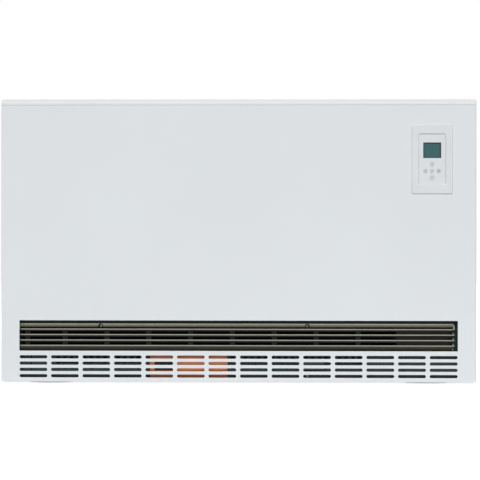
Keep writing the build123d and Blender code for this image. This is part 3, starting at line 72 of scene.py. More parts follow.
class Finish:
    """A material under construction: its node tree and the few kinds of node that the finishes share."""

    def __init__(self, name):
        self.material = bpy.data.materials.new(name)
        self.material.use_nodes = True
        self.tree = self.material.node_tree
        self.tree.nodes.clear()
        output = new_node(self.tree, "OutputMaterial")
        self.shader = new_node(self.tree, "BsdfPrincipled")
        self.link(self.shader.outputs[0], output.inputs[0])
        self.place = new_node(self.tree, "TexCoord").outputs["Object"]

    def link(self, start, end):
        self.tree.links.new(start, end)

    def feed(self, socket, value):
        """Put a number or colour on an input, or link an output to it."""
        if isinstance(value, (int, float, tuple)):
            socket.default_value = value
        else:
            self.link(value, socket)

    def stretch(self, x, y, z):
        """The place, scaled along each axis."""
        node = new_node(self.tree, "Mapping", Scale=(x, y, z))
        self.link(self.place, node.inputs["Vector"])
        return node.outputs[0]

    def axes(self):
        """The place along each axis."""
        node = new_node(self.tree, "SeparateXYZ")
        self.link(self.place, node.inputs[0])
        return node.outputs

    def noise(self, scale, detail=3.0, rough=0.5, place=None, warp=0.0):
        node = new_node(self.tree, "TexNoise", Scale=scale, Detail=detail, Roughness=rough, Distortion=warp)
        self.link(place or self.place, node.inputs["Vector"])
        return node.outputs["Fac"]

    def cells(self, scale, feature="F1", place=None, spread=1.0):
        node = new_node(self.tree, "TexVoronoi", Scale=scale, Randomness=spread)
        node.feature = feature
        self.link(place or self.place, node.inputs["Vector"])
        return node

    def bands(self, direction, scale, warp):
        """Soft stripes that follow each other along an axis."""
        node = new_node(self.tree, "TexWave", Scale=scale, Distortion=warp)
        node.bands_direction = direction
        self.link(self.place, node.inputs["Vector"])
        return node.outputs["Fac"]

    def span(self, value, low, high, start, end):
        """Value carried from one range to another, held at its ends."""
        node = new_node(self.tree, "MapRange")
        for socket, number in zip(node.inputs[1:5], (low, high, start, end)):
            socket.default_value = number
        self.link(value, node.inputs[0])
        return node.outputs[0]

    def share(self, value, low, high, most=1.0):
        """Share that grows from nothing at the low value to its most at the high one."""
        return self.span(value, low, high, 0.0, most)

    def maths(self, operation, first, second=0.0):
        node = new_node(self.tree, "Math")
        node.operation = operation
        for socket, value in zip(node.inputs, (first, second)):
            self.feed(socket, value)
        return node.outputs[0]

    def mix(self, share, first, second, blend="MIX"):
        """Two colours mixed by a share; each may be a colour or a socket."""
        node = new_node(self.tree, "Mix")
        node.data_type = "RGBA"
        node.blend_type = blend
        for socket, value in ((node.inputs[0], share), (node.inputs[6], first), (node.inputs[7], second)):
            self.feed(socket, value)
        return node.outputs[2]

    def soft_normal(self, radius):
        """Normal rounded over the edges."""
        node = new_node(self.tree, "Bevel", Radius=radius)
        node.samples = 6
        return node.outputs[0]

    def edges(self, radius):
        """Share of wear: 1 on the edges, 0 on the flats."""
        surface = new_node(self.tree, "NewGeometry").outputs["Normal"]
        product = new_node(self.tree, "VectorMath")
        product.operation = "DOT_PRODUCT"
        self.link(self.soft_normal(radius), product.inputs[0])
        self.link(surface, product.inputs[1])
        turned_away = self.maths("SUBTRACT", 1.0, product.outputs["Value"])
        return self.share(turned_away, 0.02, 0.25)

    def painted_crevice_shade(self, colour, distance, least, start, end):
        """Painted shade: colour darkened where surfaces lie closely round it."""
        node = new_node(self.tree, "AmbientOcclusion", Distance=distance)
        node.samples = 8
        open_share = self.span(node.outputs["AO"], start, end, least, 1.0)
        grey = new_node(self.tree, "CombineColor")
        for socket in grey.inputs[:3]:
            self.link(open_share, socket)
        return self.mix(1.0, colour, grey.outputs[0], "MULTIPLY")

    def bump(self, height, depth, strength, normal=None):
        node = new_node(self.tree, "Bump", Strength=strength, Distance=depth)
        self.link(height, node.inputs["Height"])
        if normal is not None:
            self.link(normal, node.inputs["Normal"])
        return node.outputs[0]

    def set(self, **inputs):
        """Shader inputs by name, with underscores for spaces; each a value or a socket."""
        for name, value in inputs.items():
            self.feed(self.shader.inputs[name.replace("_", " ")], value)
        return self.material


# Kinds of finish
def enamel(name, colour, rough=0.38, radius=0.8 * MM, coat=0.12):
    """Stoved enamel on sheet steel: slight orange peel, a faint drift of tone and softly rounded folds."""
    f = Finish(name)
    drift = f.noise(3.0, 2.0)
    speck = f.noise(900.0, 2.0)
    peel = f.noise(420.0, 2.0, 0.55)
    wear = f.maths("MULTIPLY", f.edges(0.5 * MM), f.share(f.noise(160.0, 4.0), 0.5, 0.75, 0.35))
    tone = f.mix(f.share(drift, 0.3, 0.7), shade(colour, 0.985), shade(colour, 1.012))
    tone = f.mix(f.share(speck, 0.62, 0.8, 0.1), tone, shade(colour, 0.9))
    tone = f.mix(wear, tone, shade(colour, 0.82))
    roughness = f.span(f.noise(60.0, 3.0), 0.3, 0.7, rough - 0.04, rough + 0.06)
    normal = f.bump(peel, 0.02 * MM, 0.35, f.soft_normal(radius))
    gloss = 0.45 if coat else 0.25
    return f.set(Base_Color=tone, Roughness=roughness, Normal=normal, Specular_IOR_Level=gloss,
                 Coat_Weight=coat, Coat_Roughness=0.25)


def moulded(name, colour, rough=0.5, grain=2600.0, radius=0.3 * MM):
    """Moulded plastic with a fine eroded grain."""
    f = Finish(name)
    cloud = f.noise(25.0, 3.0)
    grit = f.noise(grain, 2.0, 0.6)
    tone = f.mix(f.share(cloud, 0.3, 0.7), shade(colour, 0.97), shade(colour, 1.02))
    tone = f.mix(f.share(grit, 0.35, 0.7, 0.25), tone, shade(colour, 0.9))
    tone = f.mix(f.maths("MULTIPLY", f.edges(0.2 * MM), 0.3), tone, shade(colour, 1.12))
    roughness = f.span(cloud, 0.3, 0.7, rough - 0.05, rough + 0.06)
    normal = f.bump(grit, 0.012 * MM, 0.5, f.soft_normal(radius))
    return f.set(Base_Color=tone, Roughness=roughness, Normal=normal, Specular_IOR_Level=0.4)


def galvanised(name, colour, spangle=150.0, rough=0.42):
    """Hot-dip galvanised sheet: overlapping spangle crystals of different greys, and rolling marks."""
    f = Finish(name)
    bent = f.mix(0.012, f.place, f.noise(60.0, 2.0))
    crystal = f.cells(spangle, place=bent)
    facet = new_node(f.tree, "SeparateColor")
    f.link(crystal.outputs["Color"], facet.inputs[0])
    feather = f.noise(700.0, 4.0, 0.65, place=f.stretch(1.0, 1.0, 0.25))
    stain_and_painted_shading = f.noise(9.0, 5.0, 0.6)
    grey = f.mix(facet.outputs[0], shade(colour, 0.86), shade(colour, 1.1))
    grey = f.mix(f.share(feather, 0.4, 0.7, 0.3), grey, shade(colour, 0.75))
    grey = f.mix(f.share(stain_and_painted_shading, 0.52, 0.75, 0.35), grey, shade(colour, 0.7))
    grey = f.mix(f.maths("MULTIPLY", f.edges(0.3 * MM), 0.5), grey, shade(colour, 1.3))
    roughness = f.span(facet.outputs[1], 0.0, 1.0, rough - 0.1, rough + 0.14)
    normal = f.bump(feather, 0.01 * MM, 0.5, f.soft_normal(0.4 * MM))
    return f.set(Base_Color=grey, Metallic=0.8, Roughness=roughness, Normal=normal)


def coated_sheet(name, colour, rough=0.45, metallic=0.0, streak=0.12, painted_shade=None, painted_bands=(), gloss=0.5):
    """Coloured coating on sheet metal: fine texture, drawn streaks along the strip and worn edges, with
    painted crevice shade and painted bands of light and shade where they are given.
    """
    f = Finish(name)
    line = f.noise(300.0, 3.0, 0.6, place=f.stretch(0.04, 1.0, 1.0))
    grit = f.noise(1400.0, 2.0)
    wear = f.maths("MULTIPLY", f.edges(0.25 * MM), f.share(f.noise(220.0, 4.0), 0.42, 0.62, 0.55))
    tone = f.mix(f.share(line, 0.35, 0.7), shade(colour, 1.0 - streak), shade(colour, 1.0 + streak))
    tone = f.mix(f.share(grit, 0.55, 0.8, 0.3), tone, shade(colour, 0.75))
    tone = f.mix(wear, tone, shade(colour, 1.5))
    axes = f.axes()
    # Painted shading: bands of lighter and darker colour along an axis
    for axis, start, end, band_colour in painted_bands:
        ragged = f.span(f.noise(90.0, 4.0), 0.3, 0.7, -0.3 * MM, 0.3 * MM)
        tone = f.mix(f.share(f.maths("ADD", axes[axis], ragged), start, end), tone, band_colour)
    # Painted shade, darker in crevices
    if painted_shade:
        tone = f.painted_crevice_shade(tone, *painted_shade)
    roughness = f.span(line, 0.3, 0.7, rough - 0.06, rough + 0.08)
    normal = f.bump(grit, 0.012 * MM, 0.5, f.soft_normal(0.35 * MM))
    return f.set(Base_Color=tone, Roughness=roughness, Normal=normal, Metallic=metallic,
                 Specular_IOR_Level=gloss)


def drawn_metal(name, colour, rough=0.25, along=(0.03, 1.0, 1.0), scale=900.0):
    """Bare metal with drawing or turning lines, a little tarnish and bright edges."""
    f = Finish(name)
    line = f.noise(scale, 3.0, 0.6, place=f.stretch(*along))
    tarnish = f.noise(120.0, 5.0, 0.6)
    tone = f.mix(f.share(line, 0.3, 0.7), shade(colour, 0.85), shade(colour, 1.1))
    tone = f.mix(f.share(tarnish, 0.5, 0.8, 0.45), tone, shade(colour, 0.5))
    tone = f.mix(f.maths("MULTIPLY", f.edges(0.2 * MM), 0.6), tone, shade(colour, 1.35))
    roughness = f.span(tarnish, 0.3, 0.75, rough, rough + 0.2)
    normal = f.bump(line, 0.006 * MM, 0.5, f.soft_normal(0.2 * MM))
    return f.set(Base_Color=tone, Metallic=1.0, Roughness=roughness, Normal=normal)


def laminated(name):
    """Edges of stacked electrical steel: fine lines across the stack, blued and slightly rusty."""
    f = Finish(name)
    layers = f.bands("X", 320.0, 0.4)
    rust = f.noise(180.0, 6.0, 0.65)
    tone = f.mix(layers, (0.035, 0.04, 0.05, 1.0), (0.16, 0.17, 0.19, 1.0))
    tone = f.mix(f.share(rust, 0.52, 0.72, 0.5), tone, (0.16, 0.075, 0.03, 1.0))
    roughness = f.span(rust, 0.3, 0.8, 0.35, 0.6)
    normal = f.bump(layers, 0.05 * MM, 0.6, f.soft_normal(0.2 * MM))
    return f.set(Base_Color=tone, Metallic=0.7, Roughness=roughness, Normal=normal)


def refractory(name):
    """Pressed magnetite brick: dark grain, pits and pale dust."""
    f = Finish(name)
    grain = f.noise(500.0, 5.0, 0.7)
    pits = f.cells(260.0).outputs["Distance"]
    dust = f.noise(14.0, 4.0)
    tone = f.mix(f.share(grain, 0.3, 0.7), (0.035, 0.028, 0.025, 1.0), (0.11, 0.085, 0.07, 1.0))
    tone = f.mix(f.share(dust, 0.5, 0.8, 0.4), tone, (0.3, 0.26, 0.22, 1.0))
    height = f.maths("ADD", grain, f.span(pits, 0.0, 0.3, -0.5, 0.0))
    normal = f.bump(height, 0.5 * MM, 0.7, f.soft_normal(1.0 * MM))
    return f.set(Base_Color=tone, Roughness=0.9, Normal=normal)


def mineral_board(name):
    """Pressed mineral fibre: matted strands with soft broken edges."""
    f = Finish(name)
    strand = f.noise(420.0, 6.0, 0.7, place=f.stretch(0.35, 1.0, 0.5), warp=1.2)
    cloud = f.noise(22.0, 4.0)
    tone = f.mix(f.share(strand, 0.3, 0.7), (0.46, 0.4, 0.3, 1.0), (0.74, 0.69, 0.58, 1.0))
    tone = f.mix(f.share(cloud, 0.45, 0.75, 0.4), tone, (0.42, 0.34, 0.22, 1.0))
    normal = f.bump(strand, 0.6 * MM, 0.7, f.soft_normal(1.2 * MM))
    return f.set(Base_Color=tone, Roughness=0.95, Sheen_Weight=0.3, Normal=normal)


def circuit(name):
    """Circuit board: solder mask over copper tracks, with tinned pads."""
    f = Finish(name)
    tracks = f.cells(210.0, "DISTANCE_TO_EDGE", spread=0.55).outputs["Distance"]
    pads = f.cells(330.0, spread=0.2).outputs["Distance"]
    track_share = f.span(tracks, 0.03, 0.06, 1.0, 0.0)
    pad_share = f.span(pads, 0.13, 0.17, 1.0, 0.0)
    tone = f.mix(track_share, (0.012, 0.075, 0.03, 1.0), (0.03, 0.16, 0.06, 1.0))
    tone = f.mix(pad_share, tone, (0.62, 0.62, 0.6, 1.0))
    normal = f.bump(tracks, 0.05 * MM, 0.4, f.soft_normal(0.2 * MM))
    return f.set(Base_Color=tone, Roughness=0.35, Metallic=f.maths("MULTIPLY", pad_share, 0.8), Normal=normal)


def winding_tape(name):
    """Coil under yellow tape: overlapping turns with glossy ridges."""
    f = Finish(name)
    turns = f.bands("Z", 45.0, 0.8)
    weave = f.noise(1500.0, 2.0)
    tone = f.mix(turns, (0.34, 0.22, 0.03, 1.0), (0.66, 0.47, 0.1, 1.0))
    tone = f.mix(f.share(weave, 0.4, 0.7, 0.3), tone, (0.25, 0.15, 0.02, 1.0))
    normal = f.bump(turns, 0.2 * MM, 0.6, f.soft_normal(0.5 * MM))
    return f.set(Base_Color=tone, Roughness=0.32, Normal=normal)


def sleeving(name):
    """Braided glass-fibre sleeving: a fine crossed weave."""
    f = Finish(name)
    weave = f.cells(1100.0, spread=0.1).outputs["Distance"]
    cloud = f.noise(60.0, 3.0)
    tone = f.mix(f.share(weave, 0.1, 0.6), (0.5, 0.075, 0.03, 1.0), (0.2, 0.025, 0.012, 1.0))
    tone = f.mix(f.share(cloud, 0.5, 0.8, 0.3), tone, (0.6, 0.18, 0.1, 1.0))
    return f.set(Base_Color=tone, Roughness=0.7, Sheen_Weight=0.2, Normal=f.bump(weave, 0.15 * MM, 0.7))


def display_face(name, centre, half_width, half_height):
    """Liquid-crystal panel behind its window: teal, with painted shade towards the edges, a painted shadow
    along the top and right edges, and a faint cell grid.
    """
    f = Finish(name)
    x, _, z = f.axes()
    away, shadows = [], []
    for place, middle, half in ((x, centre[0], half_width), (z, centre[1], half_height)):
        away.append(f.maths("DIVIDE", f.maths("ABSOLUTE", f.maths("SUBTRACT", place, middle)), half))
        shadows.append(f.share(place, middle + 0.82 * half, middle + 0.94 * half))
    # Painted shade darkening towards the edges, and painted shadow along the top and right edges
    rim_shade = f.share(f.maths("MAXIMUM", *away), 0.84, 0.98)
    shadow = f.maths("MULTIPLY", f.maths("MAXIMUM", *shadows), 0.85)
    cell = f.cells(2600.0, spread=0.0).outputs["Distance"]
    cloud = f.noise(90.0, 2.0)
    teal = srgb(60, 101, 105)
    tone = f.mix(f.share(cell, 0.3, 0.5, 0.12), teal, shade(teal, 0.6))
    tone = f.mix(f.share(cloud, 0.35, 0.7, 0.25), tone, shade(teal, 0.85))
    tone = f.mix(rim_shade, tone, shade(teal, 0.4))
    tone = f.mix(shadow, tone, shade(teal, 0.16))
    return f.set(Base_Color=tone, Roughness=0.22, Specular_IOR_Level=0.22, Normal=f.soft_normal(0.2 * MM))


# Colours, painted crevice shade, and painted bands of light and shade
WHITE = srgb(226, 230, 233)
# Lighter copy of the casing enamel for the lid: painted light on its front band
LID_PAINTED_LIGHT = srgb(231, 234, 237)
PANEL = srgb(224, 227, 230)
BRONZE = srgb(150, 148, 138)
KHAKI = srgb(96, 92, 72)
COPPER = srgb(208, 130, 86)
# Near black for the painted shadow deep in the grille
PAINTED_SHADOW = srgb(18, 18, 15)
ZINC = (0.34, 0.355, 0.365, 1.0)

# Painted shade in crevices: darkening within a distance, down to a least brightness, between two shares of
# openness
CREVICE_SHADE = (14 * MM, 0.1, 0.3, 0.75)
STRAP_CREVICE_SHADE = (14 * MM, 0.2, 0.3, 0.75)
SCREEN_CREVICE_SHADE = (20 * MM, 0.35, 0.25, 0.8)


def stain_and_painted_shading(axis, start, end, colour):
    """Painted shading: change to another colour between two places on an axis, in millimetres."""
    return ("xyz".index(axis), start * MM, end * MM, colour)


# Painted shadow: the slats turn near black just behind their lips, and the end plates do too, also below the
# top slat
slat_painted_shadow = (stain_and_painted_shading("y", -111.95, -109.5, PAINTED_SHADOW),)
end_painted_shadow = (stain_and_painted_shading("y", -111.9, -109.5, PAINTED_SHADOW), stain_and_painted_shading("z", 129.5, 126.5, PAINTED_SHADOW))
# Painted shade on the top rail: darker under its crown, darker still on its belly, and near black further
# back
rail_painted_shading = (stain_and_painted_shading("z", 140.4, 138.6, srgb(112, 109, 89)), stain_and_painted_shading("z", 136.6, 132.5, srgb(52, 49, 36)),
               stain_and_painted_shading("y", -108.5, -106.0, PAINTED_SHADOW))
# Painted shade: the intake screen darker towards the bottom
screen_painted_shade = (stain_and_painted_shading("z", 27.0, 21.0, (0.02, 0.029, 0.031, 1.0)),)
# Painted light: the closing plate lighter towards the top
closing_painted_light = (stain_and_painted_shading("z", 126.0, 134.0, srgb(72, 87, 88)),)
# Painted light on the motor cover: lighter at the top and in a band lower down
copper_painted_light = (stain_and_painted_shading("z", 55.0, 62.0, srgb(245, 168, 132)), stain_and_painted_shading("z", 41.0, 37.0, srgb(232, 147, 98)),
                 stain_and_painted_shading("z", 30.0, 26.0, COPPER))

window_low, window_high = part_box("display_window")
window_centre = ((window_low.x + window_high.x) / 2, (window_low.z + window_high.z) / 2)
glass_half_width = 20.75 * MM
glass_half_height = 18.0 * MM

finishes = {
    "casing": enamel("casing_enamel", WHITE),
    "lid": enamel("lid_enamel_painted_light", LID_PAINTED_LIGHT, rough=0.6, coat=0.0),
    # Whiter than the casing: painted light against the shadow under the casing
    "foot": enamel("foot_enamel_painted_light", srgb(236, 239, 241), rough=0.6, radius=0.5 * MM, coat=0.0),
    "panel": moulded("panel_plastic", PANEL, rough=0.42, radius=0.6 * MM),
    "button": moulded("button_plastic", shade(PANEL, 0.86), rough=0.4, grain=3200.0),
    "ink": moulded("key_ink", srgb(96, 103, 106), rough=0.55, grain=2200.0, radius=0.02 * MM),
    "dark": moulded("dark_plastic", (0.02, 0.02, 0.022, 1.0), grain=1800.0),
    "natural": moulded("natural_plastic", srgb(214, 214, 206), rough=0.42, grain=1600.0),
    "connector": moulded("grey_plastic", srgb(78, 84, 84), grain=1600.0),
    "rubber": moulded("black_rubber", (0.016, 0.016, 0.016, 1.0), rough=0.75, grain=1300.0, radius=0.6 * MM),
    "display": display_face("display_glass", window_centre, glass_half_width, glass_half_height),
    "galvanised": galvanised("galvanised_steel", ZINC),
    # Dark coating made darker still: painted shade for the screen behind the slots
    "screen": coated_sheet("screen_steel_painted_shade", (0.045, 0.065, 0.068, 1.0), rough=0.55, metallic=0.3, streak=0.25,
                           painted_shade=SCREEN_CREVICE_SHADE, painted_bands=screen_painted_shade),
    "bronze": coated_sheet("grille_enamel", BRONZE, rough=0.36, streak=0.06, painted_shade=CREVICE_SHADE, painted_bands=slat_painted_shadow,
                           gloss=0.3),
    # Lighter than the grille bronze: painted highlight on the crown of the top rail
    "rail": coated_sheet("rail_enamel_painted_shading", srgb(168, 167, 150), rough=0.36, streak=0.06, painted_bands=rail_painted_shading,
                         gloss=0.25),
    "end": coated_sheet("end_plate_enamel", BRONZE, rough=0.36, streak=0.06, painted_shade=CREVICE_SHADE, painted_bands=end_painted_shadow,
                        gloss=0.2),
    # Darker than the grille bronze: painted shade on the bottom rail's down-facing slope
    "sill": coated_sheet("sill_enamel_painted_shade", srgb(66, 66, 54), rough=0.5, streak=0.08, gloss=0.3),
    # Darkened strap colour: painted shade inside the grille
    "strap": coated_sheet("strap_enamel_painted_shade", srgb(83, 93, 82), rough=0.6, streak=0.08, painted_shade=STRAP_CREVICE_SHADE,
                          gloss=0.12),
    "khaki": coated_sheet("khaki_enamel", KHAKI, rough=0.6, streak=0.1, painted_shade=CREVICE_SHADE, gloss=0.12),
    # Dark coating made near black: painted shade for the depths of the duct
    "duct": coated_sheet("duct_coating_painted_shade", (0.006, 0.009, 0.01, 1.0), rough=0.7, streak=0.2, gloss=0.1),
    # Dark teal: painted shade for the gaps round the grille
    "closing": coated_sheet("closing_plate_painted_shade", srgb(44, 54, 55), rough=0.6, streak=0.1,
                            painted_bands=closing_painted_light, gloss=0.12),
    "copper": coated_sheet("copper_enamel", COPPER, rough=0.36, metallic=0.35, streak=0.08,
                           painted_bands=copper_painted_light),
    # Darkened aluminium: painted shade for the impellers behind the screen
    "aluminium": drawn_metal("darkened_aluminium_painted_shade", (0.2, 0.215, 0.22, 1.0), rough=0.45),
    "shaft": drawn_metal("shaft_steel", (0.2, 0.205, 0.205, 1.0), rough=0.3),
    "screw": drawn_metal("screw_steel", (0.3, 0.32, 0.31, 1.0), rough=0.38, along=(1.0, 1.0, 1.0),
                         scale=700.0),
    "sheath": drawn_metal("element_sheath", (0.2, 0.17, 0.15, 1.0), rough=0.4),
    "sintered": drawn_metal("sintered_bronze", (0.42, 0.26, 0.11, 1.0), rough=0.4),
    "lamination": laminated("laminations"),
    "brick": refractory("refractory_brick"),
    "board": circuit("circuit_board"),
    "fibre": mineral_board("mineral_board"),
    "tape": winding_tape("winding_tape"),
    "sleeve": sleeving("glass_sleeving"),
}

finish_of = {
    "casing": ("front_panel", "left_side_panel", "right_side_panel"),
    "lid": ("top_cover",),
    "foot": ("foot_rails",),
    "panel": ("control_frame", "control_plate"),
    "button": ("plus_button", "centre_button", "minus_button", "left_button", "right_button"),
    "dark": ("wall_spacers", "control_housing", "display_module"),
    "natural": ("terminal_block",),
    "connector": ("fan_lead_connector",),
    "rubber": ("cable_grommet",),
    "display": ("display_window",),
    "galvanised": ("back_panel", "base_tray", "inner_front_wall", "inner_top_cover", "left_inner_wall",
                   "partition_plate", "fan_scroll", "vortex_tongue", "fan_end_plates", "motor_brackets",
                   "overheat_thermostat"),
    "duct": ("core_tray", "duct_floor", "duct_rear_wall", "flap_brackets", "mixing_flap", "bimetal_strip"),
    "screen": ("intake_screen",),
    "bronze": ("grille_slats",),
    "rail": ("grille_top_rail",),
    "end": ("grille_end_plates",),
    "sill": ("grille_bottom_rail",),
    "strap": ("grille_supports",),
    "khaki": ("outlet_blanking_plate",),
    "copper": ("motor_cover",),
    "aluminium": ("left_impeller", "right_impeller"),
    "shaft": ("fan_shaft",),
    "sheath": ("heating_elements",),
    "sintered": ("fan_bearings",),
    "lamination": ("motor_stator", "motor_rotor"),
    "brick": ("storage_bricks",),
    "board": ("power_board", "control_board"),
    "fibre": ("wall_insulation", "bottom_insulation", "top_insulation"),
    "tape": ("motor_coil",),
    "sleeve": ("heater_leads",),
}


def dress(piece, finish):
    """Give a piece or node one finish on every face."""
    piece.data.materials.clear()
    piece.data.materials.append(finishes[finish])


for finish, names in finish_of.items():
    for name in names:
        dress(nodes[name], finish)


# Objects and meshes
def new_object(name, data):
    """Object of a mesh, lamp or camera, in the scene."""
    made = bpy.data.objects.new(name, data)
    bpy.context.scene.collection.objects.link(made)
    return made


def mesh_object(name, mesh):
    """Object made of a bmesh, which is freed."""
    data = bpy.data.meshes.new(name)
    mesh.to_mesh(data)
    mesh.free()
    return new_object(name, data)


def new_piece(name, mesh, finish, body):
    """Piece made of a bmesh, with its finish and its body."""
    bmesh.ops.recalc_face_normals(mesh, faces=mesh.faces)
    piece = mesh_object(name, mesh)
    dress(piece, finish)
    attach(piece, body)
    return piece


def loose_solids(node):
    """Lowest and highest corner of each separate solid in a node."""
    mesh = bmesh.new()
    mesh.from_mesh(nodes[node].data)
    bmesh.ops.remove_doubles(mesh, verts=mesh.verts, dist=0.001 * MM)
    left = set(mesh.verts)
    boxes = []
    while left:
        front = [left.pop()]
        points = []
        while front:
            vertex = front.pop()
            points.append(vertex.co.copy())
            for edge in vertex.link_edges:
                other = edge.other_vert(vertex)
                if other in left:
                    left.remove(other)
                    front.append(other)
        low = Vector([min(point[axis] for point in points) for axis in range(3)])
        high = Vector([max(point[axis] for point in points) for axis in range(3)])
        boxes.append((low, high))
    mesh.free()
    return sorted(boxes, key=lambda box: (box[0].y, box[0].x, box[0].z))


def skin(mesh, first, second, smooth=True):
    """Band of faces between two loops with as many vertices."""
    count = len(first)
    for n in range(count):
        after = (n + 1) % count
        mesh.faces.new((first[n], first[after], second[after], second[n])).smooth = smooth


def fill(mesh, *loops):
    """Flat face within a loop of vertices, with a hole within each further loop."""
    edges = []
    for loop in loops:
        for n, vertex in enumerate(loop):
            after = loop[(n + 1) % len(loop)]
            edges.append(mesh.edges.get((vertex, after)) or mesh.edges.new((vertex, after)))
    bmesh.ops.triangle_fill(mesh, use_beauty=True, edges=edges)


def enclose(mesh, first, second):
    """Solid between two loops with as many vertices."""
    skin(mesh, first, second, smooth=False)
    fill(mesh, first)
    fill(mesh, second)


def upright_sheet(mesh, outline, front, thickness):
    """Sheet that faces the front: an outline of (x, z) points, from a depth backwards."""
    depths = (front, front + thickness)
    enclose(mesh, *[[mesh.verts.new((x, y, z)) for x, z in outline] for y in depths])


def ring(mesh, radius, height, segments, place):
    """Circle of vertices; place turns (across, up, out) into a point."""
    turns = [2 * math.pi * n / segments for n in range(segments)]
    return [mesh.verts.new(place(radius * math.cos(turn), radius * math.sin(turn), height)) for turn in turns]


def turned(mesh, profile, segments, place):
    """Round solid through (radius, height) pairs, closed at the first; its last ring is returned, open."""
    first, *rest = profile
    last = ring(mesh, *first, segments, place)
    mesh.faces.new(last)
    for radius, height in rest:
        loop = ring(mesh, radius, height, segments, place)
        skin(mesh, last, loop)
        last = loop
    return last


# Flat outlines, each a list of (across, up) points
def rectangle(left, right, bottom, top):
    return [(left, bottom), (right, bottom), (right, top), (left, top)]


def bar(half_length, half_width):
    return [(half_length, half_width), (-half_length, half_width), (-half_length, -half_width),
            (half_length, -half_width)]


def disc(radius, count):
    turns = [2 * math.pi * n / count for n in range(count)]
    return [(radius * math.cos(turn), radius * math.sin(turn)) for turn in turns]


def cross(half_length, half_width):
    """Twelve corners of an upright cross."""
    quarter = ((half_length, half_width), (half_width, half_width), (half_width, half_length))
    corners = []
    for turn in range(4):
        for across, up in quarter:
            for _ in range(turn):
                across, up = -up, across
            corners.append((across, up))
    return corners


def quarter_round(right, top, radius, steps=6):
    """Points round the upper right corner of an outline."""
    across, up = right - radius, top - radius
    turns = [math.pi / 2 * (1 - step / steps) for step in range(steps + 1)]
    return [(across + radius * math.cos(turn), up + radius * math.sin(turn)) for turn in turns]


def swung(outline, distance, around, aslant):
    """Outline turned aslant about its own middle, which is carried out to a distance in a direction."""
    middle = (distance * math.cos(around), distance * math.sin(around))
    cosine, sine = math.cos(aslant), math.sin(aslant)
    return [(middle[0] + u * cosine - v * sine, middle[1] + u * sine + v * cosine) for u, v in outline]


# Screws with a domed head and a cross recess, in place of the plain ones
head_height = 2.4 * MM
edge_share = 0.3
flat_share = 0.6
dome_steps = 4
shank_radius = 1.95 * MM
tip_share = 0.5
screw_segments = 24
recess_depth = 1.3 * MM
recess_mouth = (0.52, 0.13)
recess_bottom = (0.34, 0.1)
first_turn = 0.4
turn_between = 0.9


def add_screw(mesh, low, high, turn):
    """Pan-head screw within the box of a plain one, turned about its axis."""
    outward = 1 if low.y > 0 else -1
    seat = high.y - head_height if outward > 0 else low.y + head_height
    middle_x, middle_z = (low.x + high.x) / 2, (low.z + high.z) / 2
    radius = (high.x - low.x) / 2
    length = high.y - low.y - head_height
    cosine, sine = math.cos(turn), math.sin(turn)

    def place(across, up, out):
        x = middle_x + across * cosine - up * sine
        z = middle_z + across * sine + up * cosine
        return (x, seat + outward * out, z)

    def recess(shares, out):
        corners = cross(shares[0] * radius, shares[1] * radius)
        return [mesh.verts.new(place(across, up, out)) for across, up in corners]

    profile = [(tip_share * shank_radius, -length), (shank_radius, -length + shank_radius), (shank_radius, 0),
               (radius, 0), (radius, edge_share * head_height)]
    for step in range(1, dome_steps + 1):
        angle = step / dome_steps * math.pi / 2
        profile.append((radius * (flat_share + (1 - flat_share) * math.cos(angle)),
                        head_height * (edge_share + (1 - edge_share) * math.sin(angle))))
    crown = turned(mesh, profile, screw_segments, place)
    mouth = recess(recess_mouth, head_height)
    bottom = recess(recess_bottom, head_height - recess_depth)
    skin(mesh, mouth, bottom, smooth=False)
    fill(mesh, crown, mouth)
    fill(mesh, bottom)


screw_mesh = bmesh.new()
for count, (low, high) in enumerate(loose_solids("screws")):
    add_screw(screw_mesh, low, high, first_turn + turn_between * count)
screws = new_piece("screws_detailed", screw_mesh, "screw", "heater")
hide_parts("screws")

# Printed marks on the keys, generic ones: plus, minus, tick, sun and fan. Their sizes are in millimetres:
# half lengths with half widths, radii, and distances from the middle.
plus_arm = (1.6, 0.35)
minus_bar = (1.7, 0.38)
tick = [(-2.1, 0.0), (-1.65, 0.45), (-0.6, -0.75), (1.9, 2.0), (2.35, 1.55), (-0.58, -1.65)]
sun_radius, sun_corners = 1.25, 24
ray, ray_distance, ray_count = (0.45, 0.2), 2.1, 8
hub_radius, hub_corners = 0.5, 16
blade, blade_corners = (1.5, 0.82), 20
blade_distance, blade_slant, blade_count = 1.95, math.radians(38), 3


def sun_outlines():
    turns = [2 * math.pi / ray_count * n for n in range(ray_count)]
    return [disc(sun_radius, sun_corners)] + [swung(bar(*ray), ray_distance, turn, turn) for turn in turns]


def fan_outlines():
    """Oval blades set aslant about a hub."""
    oval = [(blade[0] * across, blade[1] * up) for across, up in disc(1.0, blade_corners)]
    turns = [math.pi / 2 + n * 2 * math.pi / blade_count for n in range(blade_count)]
    blades = [swung(oval, blade_distance, turn, turn + blade_slant) for turn in turns]
    return [disc(hub_radius, hub_corners)] + blades


marks = {
    "plus_button": [cross(*plus_arm)],
    "minus_button": [bar(*minus_bar)],
    "centre_button": [tick],
    "left_button": sun_outlines(),
    "right_button": fan_outlines(),
}
dish_depth = 0.35 * MM
dish_rim = 4.25 * MM
dish_radius = (dish_rim ** 2 + dish_depth ** 2) / (2 * dish_depth)
rim_distance = math.sqrt(dish_radius ** 2 - dish_rim ** 2)
ink_proud = 0.03 * MM
ink_depth = 0.1 * MM


def add_mark(mesh, outline, middle, rim_y):
    """Thin raised print of an outline in millimetres on the dished face of a key."""
    layers = []
    for lift in (-ink_proud, ink_depth):
        loop = []
        for across, up in outline:
            off_centre = math.hypot(across, up) * MM
            drop = math.sqrt(dish_radius ** 2 - off_centre ** 2) - rim_distance
            loop.append(mesh.verts.new((middle.x + across * MM, rim_y + drop + lift, middle.z + up * MM)))
        layers.append(loop)
    enclose(mesh, *layers)


